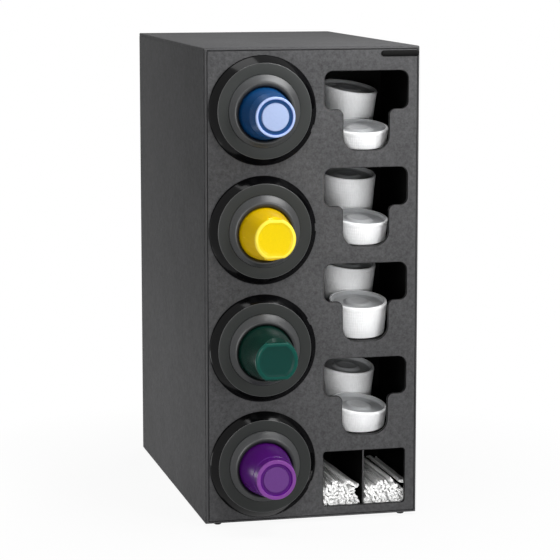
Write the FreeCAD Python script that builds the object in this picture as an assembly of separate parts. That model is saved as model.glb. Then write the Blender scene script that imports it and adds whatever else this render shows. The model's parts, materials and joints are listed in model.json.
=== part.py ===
import FreeCAD, Part
import math
import os

from FreeCAD import Vector

# A countertop cup dispenser: four pull-out cup tubes in a column on the left, four lid bays
# and a divided straw bin in a column on the right, in one tall cabinet of black sheet.
# Millimetres. x runs to the right, y to the back and z up. The origin is on the counter,
# midway between the two sides and midway between the foremost cup and the cabinet's back.

# Cabinet
cabinet_width = 378.0
cabinet_depth = 622.0
cabinet_height = 820.0
foot_height = 5.0
sheet = 6.0
inner_sheet = 4.0
front_reveal = 1.5
edge_radius = 2.5
rear_inset = 5.0

# Cup tubes, from the top one down
tube_count = 4
tube_from_left = 100.0
first_tube_from_top = 106.0
tube_pitch = 204.0
tube_bore = 112.4
tube_wall = 2.5
tube_length = 600.0
tube_mouth = 11.0
panel_hole_gap = 0.3
flange_width = 150.0
flange_thickness = 4.0

# Twist-lock collar in front of each tube
collar_diameter = 187.0
collar_face_diameter = 162.0
collar_lip_diameter = 124.0
collar_bore = 132.0
collar_height = 18.0
collar_gap = 0.4
collar_edge = 3.0
notch_width = 11.0
notch_depth = 4.5
notch_angles = [-20.0, 2.0, 28.0, -25.0]
lock_count = 3
lock_span = 30.0
lock_height = 3.0
lock_gap = 0.5
lock_root = 1.0

# Rubber diaphragm between collar and cup: its bead is held on the tube's mouth by the collar's lip
diaphragm_bead_diameter = 129.0
diaphragm_bead_height = 4.0
diaphragm_reach = 26.0
diaphragm_lip_reach = 16.0
diaphragm_crown_width = 8.0
diaphragm_thickness = 2.4
diaphragm_shoulder = 1.0
fit_gap = 0.35

# Tapered and thin round walls are drawn with this many flat sides
round_sides = 30
tube_sides = 36
collar_sides = 40
foot_sides = 16

# Cups: how far each front cup stands out, and its base and length
cup_reach = [98.0, 98.0, 108.0, 104.0]
cup_base_radius = [35.0, 35.0, 36.5, 34.0]
cup_length = 112.0
cup_mouth_radius = 49.3
cup_wall = 0.8
cup_rim_flare = 2.2
cup_rim_length = 4.0
cup_drop = 4.0
cup_pitch = 12.0
nested_cups = 12

# Pusher and its spring behind the cups
pusher_gap = 0.5
pusher_length = 16.0
pusher_wall = 3.0
spring_diameter = 84.0
spring_wire = 2.4
spring_turns = 8
spring_sides_per_turn = 8
spring_end_pitch = 3.6

# Lid bays on the right, from the top one down
bay_count = 4
bay_from_left = 283.0
first_bay_from_top = 41.5
bay_pitch = 165.8
bay_top_width = 147.5
bay_top_height = 67.0
bay_slot_width = 83.0
bay_height = 138.0
bay_top_radius = 14.0
bay_ledge_radius = 12.5
bay_inner_radius = 11.0
bay_slot_radius = 20.0
bay_depth = 228.0
shelf_slope = 10.0
partition_from_left = 197.0

# Straw bin under the lid bays
straw_from_left = 282.0
straw_opening_width = 147.0
straw_opening_height = 97.0
straw_lip = 20.0
straw_corner_radius = 5.0
divider = 3.0
straw_length = 197.0
straw_front = 11.0
straw_side_gap = 1.5
left_heap_crest = 56.0
right_heap_crest = 52.0
heap_left_slope = 0.84
heap_right_slope = 0.62

# Lids in the bays: heights of the front and rear piles, from the top bay down
lid_diameter = 103.0
lid_rim = 5.5
lid_dish = 6.0
lid_taper = 3.5
lid_front_gap = 2.5
lid_pile_gap = 2.0
front_lids_from_left = 285.5
front_lid_heights = [30.0, 38.0, 56.0, 37.0]
front_lid_leans = [0.0, 3.0, 0.0, 5.0]
rear_lids_from_left = 289.0
rear_lid_heights = [75.0, 88.0, 93.0, 71.0]
rear_lid_leans = [7.0, 2.5, 4.5, 4.0]

# Rubber feet
foot_base_radius = 8.0
foot_pad_radius = 6.5
foot_from_side = 24.0
foot_from_front = 20.0

# Places worked out from the sizes above
left = -cabinet_width / 2
right = cabinet_width / 2
front = (max(cup_reach) - cabinet_depth) / 2
back = front + cabinet_depth
bottom = foot_height
top = foot_height + cabinet_height
inside_left = left + sheet
inside_right = right - sheet
floor_top = bottom + sheet
panel_back = front + sheet
tube_x = left + tube_from_left
tube_heights = [top - first_tube_from_top - tube_pitch * i for i in range(tube_count)]
tube_radius = tube_bore / 2 + tube_wall
bay_x = left + bay_from_left
bay_tops = [top - first_bay_from_top - bay_pitch * i for i in range(bay_count)]
bay_floors = [bay_top - bay_height for bay_top in bay_tops]
partition_right = left + partition_from_left + inner_sheet
straw_x = left + straw_from_left
bay_back = front + bay_depth
shelf_back = bay_back - inner_sheet
shelf_tilt = math.radians(shelf_slope)
shelf_rise = (shelf_back - panel_back) * math.tan(shelf_tilt)
shelf_drop = inner_sheet / math.cos(shelf_tilt)
depth_axis = Vector(0, 1, 0)


def save(name, shape):
    """Write one node."""
    shape.exportStep(os.path.join("parts", name + ".step"))


def box(x0, x1, y0, y1, z0, z1):
    """A block between two corners."""
    return Part.makeBox(x1 - x0, y1 - y0, z1 - z0, Vector(x0, y0, z0))


def revolved(profile, x, z, start=0.0, span=360.0):
    """Turn a closed outline of (radius, distance behind the front face) about a line along y."""
    points = [Vector(x + r, front + d, z) for r, d in profile]
    outline = Part.makePolygon(points + [points[0]])
    centre = Vector(x, 0, z)
    solid = Part.Face(outline).revolve(centre, depth_axis, span)
    # The turn runs clockwise as seen from the front, so a start angle to the left is negative.
    solid.rotate(centre, depth_axis, -start)
    return solid


def flat_face(points):
    """A flat face through a loop of points."""
    return Part.Face(Part.makePolygon(points + [points[0]]))


def flat_sided(loops, closed=False, skewed=False):
    """A solid of flat faces through loops of points, one after the other along its wall.

    Open, its first and last loops are closed by flat ends; closed, it runs back to its first.
    Where the loops lean against each other, each of the wall's faces is skewed: two triangles.
    """
    faces = []
    for i in range(0 if closed else 1, len(loops)):
        a = loops[i - 1]
        b = loops[i]
        for j in range(len(a)):
            if skewed:
                faces += [flat_face([a[j - 1], a[j], b[j]]), flat_face([a[j - 1], b[j], b[j - 1]])]
            else:
                faces.append(flat_face([a[j - 1], a[j], b[j], b[j - 1]]))
    if not closed:
        faces += [flat_face(loops[0]), flat_face(loops[-1])]
    shell = Part.Shell(faces)
    shell.sewShape()
    solid = Part.Solid(shell)
    if solid.Volume < 0:
        solid.reverse()
    return solid


def circle_steps(sides):
    """The angles of a circle's flat sides."""
    return [2 * math.pi * i / sides for i in range(sides)]


def faceted(rings, x, closed=False, sides=round_sides):
    """A round form lying along y, through rings of (radius, distance behind the front, height)."""
    steps = circle_steps(sides)
    loops = [
        [Vector(x + r * math.cos(a), front + d, z + r * math.sin(a)) for a in steps]
        for r, d, z in rings
    ]
    return flat_sided(loops, closed)


def faceted_upright(rings, x, y, sides):
    """A round form standing on its end, through rings of (radius, height)."""
    steps = circle_steps(sides)
    loops = [[Vector(x + r * math.cos(a), y + r * math.sin(a), z) for a in steps] for r, z in rings]
    return flat_sided(loops)


def rounded_outline(corners):
    """A closed wire in the front plane through (x, z, radius) corners, each an arc."""
    count = len(corners)
    edges = []
    arcs = []
    for i in range(count):
        x, z, radius = corners[i]
        here = Vector(x, front, z)
        before = Vector(corners[i - 1][0], front, corners[i - 1][1])
        after = Vector(corners[(i + 1) % count][0], front, corners[(i + 1) % count][1])
        to_before = (before - here).normalize()
        to_after = (after - here).normalize()
        start = here + to_before * radius
        end = here + to_after * radius
        inward = (to_before + to_after) * radius
        middle = here + inward * (1 - math.sqrt(0.5))
        arcs.append((start, middle, end))
    for i in range(count):
        start, middle, end = arcs[i]
        edges.append(Part.Arc(start, middle, end).toShape())
        edges.append(Part.LineSegment(end, arcs[(i + 1) % count][0]).toShape())
    return Part.Wire(edges)


def through_sheet(outline):
    """The cutter that a closed wire in the front plane makes through the front sheet."""
    cutter = Part.Face(outline).extrude(depth_axis * (sheet + 2))
    cutter.translate(Vector(0, -1, 0))
    return cutter


def bay_opening(z_top):
    """The T-shaped opening of a lid bay: wide above for the hand, a slot below for the lids."""
    half_top = bay_top_width / 2
    half_slot = bay_slot_width / 2
    ledge = z_top - bay_top_height
    low = z_top - bay_height
    right_side = [
        (bay_x + half_top, z_top, bay_top_radius),
        (bay_x + half_top, ledge, bay_ledge_radius),
        (bay_x + half_slot, ledge, bay_inner_radius),
        (bay_x + half_slot, low, bay_slot_radius),
    ]
    left_side = [(2 * bay_x - x, z, radius) for x, z, radius in reversed(right_side)]
    return through_sheet(rounded_outline(right_side + left_side))


def straw_opening():
    """The wide opening of the straw bin, with the sheet left as a lip below it."""
    half = straw_opening_width / 2
    low = bottom + straw_lip
    high = low + straw_opening_height
    sides = [straw_x - half, straw_x + half]
    corners = [(sides[1], high), (sides[1], low), (sides[0], low), (sides[0], high)]
    return through_sheet(rounded_outline([(x, z, straw_corner_radius) for x, z in corners]))


def face_sheet():
    """The face sheet, set in from the cabinet's edges, with its round and T-shaped openings."""
    panel = box(
        left + front_reveal,
        right - front_reveal,
        front,
        panel_back,
        bottom + front_reveal,
        top - front_reveal,
    )
    hole = tube_radius + panel_hole_gap
    cutters = [
        Part.makeCylinder(hole, sheet + 2, Vector(tube_x, front - 1, z), depth_axis)
        for z in tube_heights
    ]
    cutters += [bay_opening(z) for z in bay_tops]
    cutters.append(straw_opening())
    for cutter in cutters:
        panel = panel.cut(cutter)
    return panel


def face_frames():
    """The face sheet by node name: the tubes' half, and a frame round each bay and the straw bin."""
    whole = face_sheet()
    split = partition_right - inner_sheet / 2
    straw_top = bottom + straw_lip + straw_opening_height
    below = bay_tops[1:] + [straw_top]
    levels = [top] + [(floor + next_top) / 2 for floor, next_top in zip(bay_floors, below)] + [bottom]
    cuts = {"front_panel": box(left, split, front, panel_back, bottom, top)}
    names = ["bay_frame_%d" % (i + 1) for i in range(bay_count)] + ["straw_frame"]
    for name, high, low in zip(names, levels, levels[1:]):
        cuts[name] = box(split, right, front, panel_back, low, high)
    return {name: whole.common(cut).Solids[0] for name, cut in cuts.items()}


def top_panel():
    """The top sheet, over the side sheets, with its two long edges rounded."""
    panel = box(left, right, panel_back, back, top - sheet, top)
    long_edges = [
        edge
        for edge in panel.Edges
        if edge.Length > cabinet_depth - 2 * sheet and edge.CenterOfMass.z > top - 1
    ]
    return panel.makeFillet(edge_radius, long_edges)


def across(outline, x0, x1):
    """A sheet or block as wide as from x0 to x1, through (y, z) corners."""
    return flat_face([Vector(x0, y, z) for y, z in outline]).extrude(Vector(x1 - x0, 0, 0))


def straw_divider():
    """The upright sheet that parts the straw bin, cut to the slope of the shelf above it."""
    under_shelf = bay_floors[-1] - shelf_drop
    outline = [
        (panel_back, floor_top),
        (shelf_back, floor_top),
        (shelf_back, under_shelf + shelf_rise),
        (panel_back, under_shelf),
    ]
    return across(outline, straw_x - divider / 2, straw_x + divider / 2)


def cabinet():
    """The cabinet's sheets behind the face, by node name."""
    under_top = top - sheet
    return {
        "top_panel": top_panel(),
        "left_side_panel": box(left, inside_left, panel_back, back, bottom, under_top),
        "right_side_panel": box(inside_right, right, panel_back, back, bottom, under_top),
        "bottom_panel": box(inside_left, inside_right, panel_back, back, bottom, floor_top),
        "rear_panel": box(
            inside_left, inside_right, back - rear_inset - sheet, back - rear_inset, floor_top, under_top
        ),
        "partition_panel": box(
            partition_right - inner_sheet, partition_right, panel_back, bay_back, floor_top, under_top
        ),
        "bay_back_panel": box(
            partition_right, inside_right, bay_back - inner_sheet, bay_back, floor_top, under_top
        ),
        "straw_divider": straw_divider(),
    }


def lid_shelf(z):
    """The floor of one lid bay, sloping down to the front, between the inner walls and the side."""
    outline = [
        (panel_back, z),
        (shelf_back, z + shelf_rise),
        (shelf_back, z + shelf_rise - shelf_drop),
        (panel_back, z - shelf_drop),
    ]
    return across(outline, partition_right, inside_right)


def around(form, z, turn):
    """One lock piece drawn lock_count times round the tube, its first one centred on the turn."""
    starts = [turn + i * 360 / lock_count + lock_span / 2 for i in range(lock_count)]
    return [revolved(form, tube_x, z, start, lock_span) for start in starts]


def tube(z, turn):
    """A cup tube, closed at the rear, with a square flange behind the sheet and ears in front."""
    bore = tube_bore / 2
    rings = [
        (tube_radius, tube_length),
        (tube_radius, -tube_mouth),
        (bore, -tube_mouth),
        (bore, tube_length - tube_wall),
    ]
    body = faceted([(r, d, z) for r, d in rings], tube_x, sides=tube_sides)
    half = flange_width / 2
    flange = box(
        tube_x - half, tube_x + half, panel_back, panel_back + flange_thickness, z - half, z + half
    )
    middle = (bore + tube_radius) / 2
    flange = flange.cut(Part.makeCylinder(middle, cabinet_depth, Vector(tube_x, front, z), depth_axis))
    body = body.fuse(flange)
    ear = [
        (middle, -tube_mouth),
        (collar_bore / 2 - lock_gap, -tube_mouth),
        (collar_bore / 2 - lock_gap, lock_height - tube_mouth),
        (middle, lock_height - tube_mouth),
    ]
    for piece in around(ear, z, turn):
        body = body.fuse(piece)
    return body.removeSplitter()


def collar(z, turn):
    """The twist-lock collar: a sloping ring over the bead, with lugs in its bore and a notch."""
    bore = collar_bore / 2
    lip = collar_lip_diameter / 2
    outer = collar_diameter / 2
    lip_back = -tube_mouth - diaphragm_bead_height - fit_gap
    ring = faceted(
        [
            (bore, -collar_gap, z),
            (bore, lip_back, z),
            (lip, lip_back, z),
            (lip, -collar_height, z),
            (collar_face_diameter / 2, -collar_height, z),
            (outer, -collar_gap - collar_edge, z),
            (outer, -collar_gap, z),
        ],
        tube_x,
        closed=True,
        sides=collar_sides,
    )
    lug_front = lock_height + lock_gap - tube_mouth
    lug = [
        (tube_radius + lock_gap, lug_front),
        (bore + lock_root, lug_front),
        (bore + lock_root, lug_front + lock_height),
        (tube_radius + lock_gap, lug_front + lock_height),
    ]
    for piece in around(lug, z, turn):
        ring = ring.fuse(piece)
    ring = ring.removeSplitter()
    notch = box(
        tube_x + outer - notch_depth,
        tube_x + outer + notch_depth,
        front - collar_height,
        front,
        z - notch_width / 2,
        z + notch_width / 2,
    )
    notch.rotate(Vector(tube_x, 0, z), depth_axis, -turn)
    return ring.cut(notch)


def cup_slope(index):
    """How much a cup's radius grows over each millimetre of its length."""
    return (cup_mouth_radius - cup_base_radius[index]) / cup_length


def diaphragm(index, z):
    """The rubber diaphragm: a bead on the tube's mouth and a rolled skirt down to the lower cup."""
    cup_z = z - cup_drop
    middle_z = z - cup_drop / 2
    run = cup_reach[index] - diaphragm_lip_reach
    lip = cup_base_radius[index] + run * cup_slope(index) + fit_gap
    bead = diaphragm_bead_diameter / 2
    bead_front = -tube_mouth - diaphragm_bead_height
    thick = diaphragm_thickness
    root = collar_lip_diameter / 2 - fit_gap
    crown = (root + lip) / 2
    half_crown = diaphragm_crown_width / 2
    inner_crown = half_crown - thick / 2
    rings = [
        (bead, -tube_mouth, z),
        (bead, bead_front, z),
        (root - diaphragm_shoulder, bead_front, z),
        (crown + half_crown, -diaphragm_reach, middle_z),
        (crown - half_crown, -diaphragm_reach, middle_z),
        (lip, -diaphragm_lip_reach, cup_z),
        (lip + thick, -diaphragm_lip_reach, cup_z),
        (crown - inner_crown, thick - diaphragm_reach, middle_z),
        (crown + inner_crown, thick - diaphragm_reach, middle_z),
        (root - 2 * thick, -tube_mouth, z),
    ]
    return faceted(rings, tube_x, closed=True)


def cup_rings(index, z, shift):
    """The rings of one hollow cup, moved back by a distance: out along the wall, then back inside."""
    base = cup_base_radius[index]
    slope = cup_slope(index)
    start = -cup_reach[index] + shift
    neck = cup_length - cup_rim_length
    mouth = cup_mouth_radius
    cup_z = z - cup_drop
    return [
        (base, start, cup_z),
        (base + neck * slope, start + neck, cup_z),
        (mouth + cup_rim_flare, start + cup_length, cup_z),
        (mouth - cup_wall, start + cup_length, cup_z),
        (base + cup_wall * slope - cup_wall, start + cup_wall, cup_z),
    ]


def cup(index, z):
    """The front cup, bottom outwards, as a hollow tapered shell with a flared rim."""
    return faceted(cup_rings(index, z, 0), tube_x)


def stack_end(index):
    """How far behind the front face the last nested cup's rim lies."""
    return cup_length - cup_reach[index] + cup_pitch * nested_cups


def cup_stack(index, z):
    """The cups nested in the front one, as one shell: the second cup, then a column of rims."""
    base, neck, rim, mouth, inner_base = cup_rings(index, z, cup_pitch)
    end = stack_end(index)
    column = [(rim[0], end, rim[2]), (mouth[0], end, mouth[2])]
    return faceted([base, neck, rim] + column + [mouth, inner_base], tube_x)


def pusher(index, z):
    """The follower behind the last cup's rim: a disc with a skirt that guides it and the spring."""
    outer = tube_bore / 2 - pusher_gap
    start = stack_end(index) + fit_gap
    floor = start + pusher_wall
    end = start + pusher_length
    rings = [(outer, start), (outer, end), (outer - pusher_wall, end), (outer - pusher_wall, floor)]
    return faceted([(r, d, z) for r, d in rings], tube_x)


def spring_rise(turn, length):
    """How far along the axis the wire has climbed: close end turns, open ones between."""
    open_turns = spring_turns - 2
    open_length = length - spring_wire - 2 * spring_end_pitch
    if turn <= 1:
        return turn * spring_end_pitch
    if turn >= spring_turns - 1:
        return length - spring_wire - (spring_turns - turn) * spring_end_pitch
    return spring_end_pitch + (turn - 1) * open_length / open_turns


def spring(index, z):
    """The long compression spring, one unbroken square wire wound from pusher to tube end."""
    start = stack_end(index) + fit_gap + pusher_wall
    length = tube_length - tube_wall - start
    half = spring_wire / 2
    sections = []
    centres = []
    for step in range(spring_turns * spring_sides_per_turn + 1):
        turn = step / spring_sides_per_turn
        angle = 2 * math.pi * turn
        out = Vector(math.cos(angle), 0, math.sin(angle))
        rise = start + half + spring_rise(turn, length)
        centre = Vector(tube_x, front + rise, z) + out * (spring_diameter / 2)
        centres.append(centre)
        corners = [
            centre + out * (half * u) + depth_axis * (half * v)
            for u, v in [(-1, -1), (1, -1), (1, 1), (-1, 1)]
        ]
        sections.append(Part.makePolygon(corners + [corners[0]]))
    gap = min(
        centres[i].distanceToPoint(centres[i + spring_sides_per_turn])
        for i in range(len(centres) - spring_sides_per_turn)
    )
    print("spring", index + 1, "least gap between turns", round(gap - spring_wire, 2))
    return Part.makeLoft(sections, True, True)


def lid_ring(place, radius, height, lean, sink):
    """One ring of a pile of lids, which leans to the right more and more with its height.

    The place is the pile's middle: (x, distance up the shelf, floor at the shelf's front edge).
    """
    x, along, floor = place
    shift = height * lean / 2 - sink * math.sin(lean)
    above = height - sink * math.cos(lean)
    points = []
    for angle in circle_steps(round_sides):
        side = radius * math.cos(angle)
        up_slope = along + radius * math.sin(angle)
        over = above - side * math.sin(lean)
        y = panel_back + up_slope * math.cos(shelf_tilt) - over * math.sin(shelf_tilt)
        z = floor + up_slope * math.sin(shelf_tilt) + over * math.cos(shelf_tilt)
        points.append(Vector(x + shift + side * math.cos(lean), y, z))
    return points


def lid_pile(place, height, lean):
    """A pile of nested lids as one closed form: tapered skirts under a dished top."""
    radius = lid_diameter / 2
    inner = radius - lid_rim
    loops = [
        lid_ring(place, radius - lid_taper, 0, 0, 0),
        lid_ring(place, radius, height, lean, 0),
        lid_ring(place, inner, height, lean, 0),
        lid_ring(place, inner, height, lean, lid_dish),
    ]
    return flat_sided(loops, skewed=True)


def straw_heap(x0, x1, crest):
    """A bin's heap of straws as one closed form with a sloping, uneven top."""
    low = floor_top
    middle = (x0 + x1) / 2
    outline = [
        (x0, low),
        (x1, low),
        (x1, low + heap_right_slope * crest),
        (middle, low + crest),
        (x0, low + heap_left_slope * crest),
    ]
    points = [Vector(x, front + straw_front, z) for x, z in outline]
    return flat_face(points).extrude(depth_axis * straw_length)


def feet():
    """Four rubber bumpers under the corners."""
    xs = [left + foot_from_side, right - foot_from_side]
    ys = [front + foot_from_front, back - foot_from_front]
    rings = [(foot_pad_radius, 0), (foot_base_radius, foot_height)]
    return Part.makeCompound([faceted_upright(rings, x, y, foot_sides) for x in xs for y in ys])


def piles(from_left, behind, heights, leans):
    """One row of lid piles, one to each bay, so far behind where the front piles stand.

    A front pile stands where its top edge, which leans forward, just clears the face sheet.
    """
    made = []
    for i in range(bay_count):
        front_pile = lid_diameter / 2 + lid_front_gap + front_lid_heights[i] * math.tan(shelf_tilt)
        place = (left + from_left, front_pile + behind, bay_floors[i])
        made.append(lid_pile(place, heights[i], math.radians(leans[i])))
    return Part.makeCompound(made)


os.makedirs("parts", exist_ok=True)

for name, shape in {**face_frames(), **cabinet()}.items():
    save(name, shape)

for i, z in enumerate(bay_floors):
    save("lid_shelf_%d" % (i + 1), lid_shelf(z))

for i, z in enumerate(tube_heights):
    number = i + 1
    save("tube_%d" % number, tube(z, notch_angles[i]))
    save("collar_%d" % number, collar(z, notch_angles[i]))
    save("diaphragm_%d" % number, diaphragm(i, z))
    save("cup_%d" % number, cup(i, z))
    save("cup_stack_%d" % number, cup_stack(i, z))
    save("pusher_%d" % number, pusher(i, z))
    save("spring_%d" % number, spring(i, z))

save("front_lids", piles(front_lids_from_left, 0, front_lid_heights, front_lid_leans))
rear_row = lid_diameter + lid_pile_gap
save("rear_lids", piles(rear_lids_from_left, rear_row, rear_lid_heights, rear_lid_leans))

divider_left = straw_x - divider / 2 - straw_side_gap
divider_right = straw_x + divider / 2 + straw_side_gap
straw_left = partition_right + straw_side_gap
straw_right = inside_right - straw_side_gap
save("left_straws", straw_heap(straw_left, divider_left, left_heap_crest))
save("right_straws", straw_heap(divider_right, straw_right, right_heap_crest))

save("rubber_feet", feet())
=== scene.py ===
import json
import logging
import math
from dataclasses import dataclass, field
from enum import Enum
from functools import cached_property
from typing import Callable, Iterable, Optional, Sequence, Union

import bpy
import numpy as np
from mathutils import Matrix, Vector
from mathutils.geometry import delaunay_2d_cdt


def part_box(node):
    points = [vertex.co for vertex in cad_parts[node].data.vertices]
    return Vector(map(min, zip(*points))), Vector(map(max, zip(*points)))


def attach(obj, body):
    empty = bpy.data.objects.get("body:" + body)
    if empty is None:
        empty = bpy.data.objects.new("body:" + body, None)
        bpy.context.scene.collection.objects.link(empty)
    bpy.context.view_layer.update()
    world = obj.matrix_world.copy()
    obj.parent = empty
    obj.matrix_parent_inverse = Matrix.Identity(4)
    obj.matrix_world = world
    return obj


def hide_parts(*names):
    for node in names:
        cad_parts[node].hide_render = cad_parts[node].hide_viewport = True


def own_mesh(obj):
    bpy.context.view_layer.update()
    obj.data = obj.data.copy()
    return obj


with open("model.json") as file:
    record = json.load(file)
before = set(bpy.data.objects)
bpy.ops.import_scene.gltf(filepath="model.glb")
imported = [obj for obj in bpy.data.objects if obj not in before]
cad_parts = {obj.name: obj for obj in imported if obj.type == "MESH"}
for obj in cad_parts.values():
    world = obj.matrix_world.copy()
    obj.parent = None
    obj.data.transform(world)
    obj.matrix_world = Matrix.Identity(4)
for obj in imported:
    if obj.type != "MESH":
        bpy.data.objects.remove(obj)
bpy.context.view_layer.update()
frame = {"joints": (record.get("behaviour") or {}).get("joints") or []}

# A countertop cup dispenser dressed for rendering: grained black cabinet, four sprung cup heads
# with twist-lock collars and rubber diaphragms, lid bays, and a divided bin of wrapped straws.
# Metres. x runs to the right, y to the back and z up; the counter is z = 0.

log = logging.getLogger("dispenser")
MM = 0.001
Number = Union[int, float]
Place = Callable[[np.ndarray, np.ndarray, np.ndarray], np.ndarray]
Corners = Sequence[tuple[float, float, float]]
Owner = Union[bpy.types.Material, bpy.types.World]

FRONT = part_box("front_panel")[0][1]
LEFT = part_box("left_side_panel")[0][0]
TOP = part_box("top_panel")[1][2]
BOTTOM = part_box("bottom_panel")[0][2]
HEADS = (1, 2, 3, 4)
FACE = ("front_panel", *("bay_frame_%d" % n for n in HEADS), "straw_frame")
WHITE = (1.0, 1.0, 1.0, 1.0)


def linear(red: Number, green: Number, blue: Number) -> tuple[float, float, float, float]:
    """Turns a colour as seen on a screen, 0 to 255, into the renderer's own light values.

    Args:
        red: the red share.
        green: the green share.
        blue: the blue share.

    Returns:
        The colour with full alpha.
    """
    shares = np.array([red, green, blue]) / 255.0
    light = np.where(shares <= 0.04045, shares / 12.92, ((shares + 0.055) / 1.055) ** 2.4)
    return (float(light[0]), float(light[1]), float(light[2]), 1.0)


# Meshes worked out as arrays


@dataclass
class Sheet:
    """A grid of points that is one stretch of a piece's skin.

    Attributes:
        points: rows by columns by 3.
        wrap_rows: the last row joins the first.
        wrap_columns: the last column joins the first.
        finish: the material slot, one number or one for each row of faces.
    """

    points: np.ndarray
    wrap_rows: bool = False
    wrap_columns: bool = False
    finish: Union[int, Sequence[int]] = 0

    def faces(self) -> tuple[np.ndarray, np.ndarray]:
        """Works out the grid's faces.

        Returns:
            The four-sided faces by point number, and the finish of each.
        """
        rows, columns = self.points.shape[:2]
        index = np.arange(rows * columns).reshape(rows, columns)
        if self.wrap_rows:
            index = np.vstack([index, index[:1]])
        if self.wrap_columns:
            index = np.hstack([index, index[:, :1]])
        quads = np.stack([index[:-1, :-1], index[:-1, 1:], index[1:, 1:], index[1:, :-1]], axis=-1)
        finish = np.broadcast_to(np.asarray(self.finish), (quads.shape[0],))
        return quads.reshape(-1, 4), np.repeat(finish, quads.shape[1])

    def turned_round(self) -> "Sheet":
        """The same skin with its faces turned to its other side."""
        return Sheet(self.points[:, ::-1], self.wrap_rows, self.wrap_columns, self.finish)


class Mould:
    """Gathers closed parts, welds each one and turns its faces outwards."""

    weld = 1e-6

    def __init__(self, name: str) -> None:
        """Starts an empty piece.

        Args:
            name: the piece's name.
        """
        self.name = name
        self.points: list[np.ndarray] = []
        self.quads: list[np.ndarray] = []
        self.triangles: list[np.ndarray] = []
        self.quad_finish: list[np.ndarray] = []
        self.triangle_finish: list[np.ndarray] = []
        self.count = 0

    def add(self, sheets: Iterable[Sheet], loose: Optional[list] = None) -> "Mould":
        """Adds one closed part.

        Args:
            sheets: the grids of its skin, which meet edge to edge.
            loose: extra (points, triangles, finish) sets, for flat faces with holes.

        Returns:
            This mould.
        """
        points, faces, finish = [], [], []
        start = 0
        for sheet in sheets:
            quads, marks = sheet.faces()
            points.append(sheet.points.reshape(-1, 3))
            faces.append(quads + start)
            finish.append(marks)
            start += len(points[-1])
        for more, triangles, mark in loose or []:
            points.append(more)
            faces.append(np.hstack([triangles, triangles[:, :1]]) + start)
            finish.append(np.full(len(triangles), mark))
            start += len(more)
        self._take(np.vstack(points), np.vstack(faces), np.concatenate(finish))
        return self

    def _take(self, points: np.ndarray, faces: np.ndarray, finish: np.ndarray) -> None:
        """Welds points closer than the weld, drops empty faces and turns the skin outwards.

        The skin faces outwards where the pyramids from the origin to its faces have a positive sum.

        Args:
            points: of one closed part.
            faces: its four-sided faces; a triangle repeats a corner.
            finish: the material slot of each face.
        """
        _, first, back = np.unique(
            np.round(points / self.weld).astype(np.int64), axis=0, return_index=True, return_inverse=True
        )
        points = points[first]
        faces = back.reshape(-1)[faces]
        corners = points[faces]
        flow = np.einsum("ij,ij->i", corners[:, 0], np.cross(corners[:, 1], corners[:, 2]))
        flow += np.einsum("ij,ij->i", corners[:, 0], np.cross(corners[:, 2], corners[:, 3]))
        if flow.sum() < 0:
            faces = faces[:, ::-1]
        same = faces == np.roll(faces, -1, axis=1)
        doubled = same.sum(axis=1)
        whole, short = doubled == 0, doubled == 1
        self.points.append(points)
        self.quads.append(faces[whole] + self.count)
        self.triangles.append(faces[short][~same[short]].reshape(-1, 3) + self.count)
        self.quad_finish.append(finish[whole])
        self.triangle_finish.append(finish[short])
        self.count += len(points)

    def cast(self, finishes: Sequence[bpy.types.Material], crease: float = 32.0) -> bpy.types.Object:
        """Makes the object.

        Args:
            finishes: its materials, in the order of the finish numbers.
            crease: edges that turn by more than this many degrees stay sharp.

        Returns:
            The object, linked to the scene.
        """
        mesh = bpy.data.meshes.new(self.name)
        faces = np.vstack(self.quads).tolist() + np.vstack(self.triangles).tolist()
        mesh.from_pydata(np.vstack(self.points).tolist(), [], faces)
        marks = np.concatenate(self.quad_finish + self.triangle_finish).astype(np.int32)
        for material in finishes:
            mesh.materials.append(material)
        mesh.polygons.foreach_set("material_index", marks)
        mesh.shade_smooth()
        mesh.set_sharp_from_angle(angle=math.radians(crease))
        mesh.update()
        piece = bpy.data.objects.new(self.name, mesh)
        bpy.context.scene.collection.objects.link(piece)
        return piece


def rounded(corners: Corners, closed: bool = False, turn: float = 10.0) -> tuple[np.ndarray, np.ndarray]:
    """Runs a line through corners, each one an arc of its own radius.

    An arc's centre lies on the corner's bisector at radius / sin(half the corner's angle), and its
    points turn evenly about that centre.

    Args:
        corners: (u, v, radius) of each corner; a radius of zero keeps it sharp.
        closed: the line runs back to its first corner.
        turn: the most degrees that an arc turns from one point to the next.

    Returns:
        The points and the unit direction of travel at each.
    """
    count = len(corners)
    places = np.array([corner[:2] for corner in corners], float)
    points, ways = [], []
    for i, (_, _, radius) in enumerate(corners):
        here = places[i]
        at_end = not closed and i in (0, count - 1)
        back = places[i - 1] - here if i or closed else here - places[1]
        on = places[(i + 1) % count] - here if i < count - 1 or closed else here - places[i - 1]
        back = back / np.linalg.norm(back)
        on = on / np.linalg.norm(on)
        angle = math.acos(float(np.clip(back @ on, -1, 1)))
        sweep = math.pi - angle
        if at_end or radius <= 0 or sweep < 1e-4:
            points.append(here[None])
            ways.append((on if not at_end or i == 0 else -back)[None])
            continue
        reach = radius / math.tan(angle / 2)
        middle = here + (back + on) / np.linalg.norm(back + on) * radius / math.sin(angle / 2)
        start, end = here + back * reach - middle, here + on * reach - middle
        steps = max(1, math.ceil(math.degrees(sweep) / turn))
        share = np.linspace(0, 1, steps + 1)[:, None]
        arc = (np.sin((1 - share) * sweep) * start + np.sin(share * sweep) * end) / math.sin(sweep)
        way = np.cos(share * sweep) * end - np.cos((1 - share) * sweep) * start
        points.append(middle + arc)
        ways.append(way / np.linalg.norm(way, axis=1, keepdims=True))
    return np.vstack(points), np.vstack(ways)


def lying(x: float, y: float, z: float) -> Place:
    """A place for a form whose axis runs to the back, starting from that point."""
    return lambda a, b, w: np.stack([x + a, y + w, z + b], axis=-1)


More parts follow.
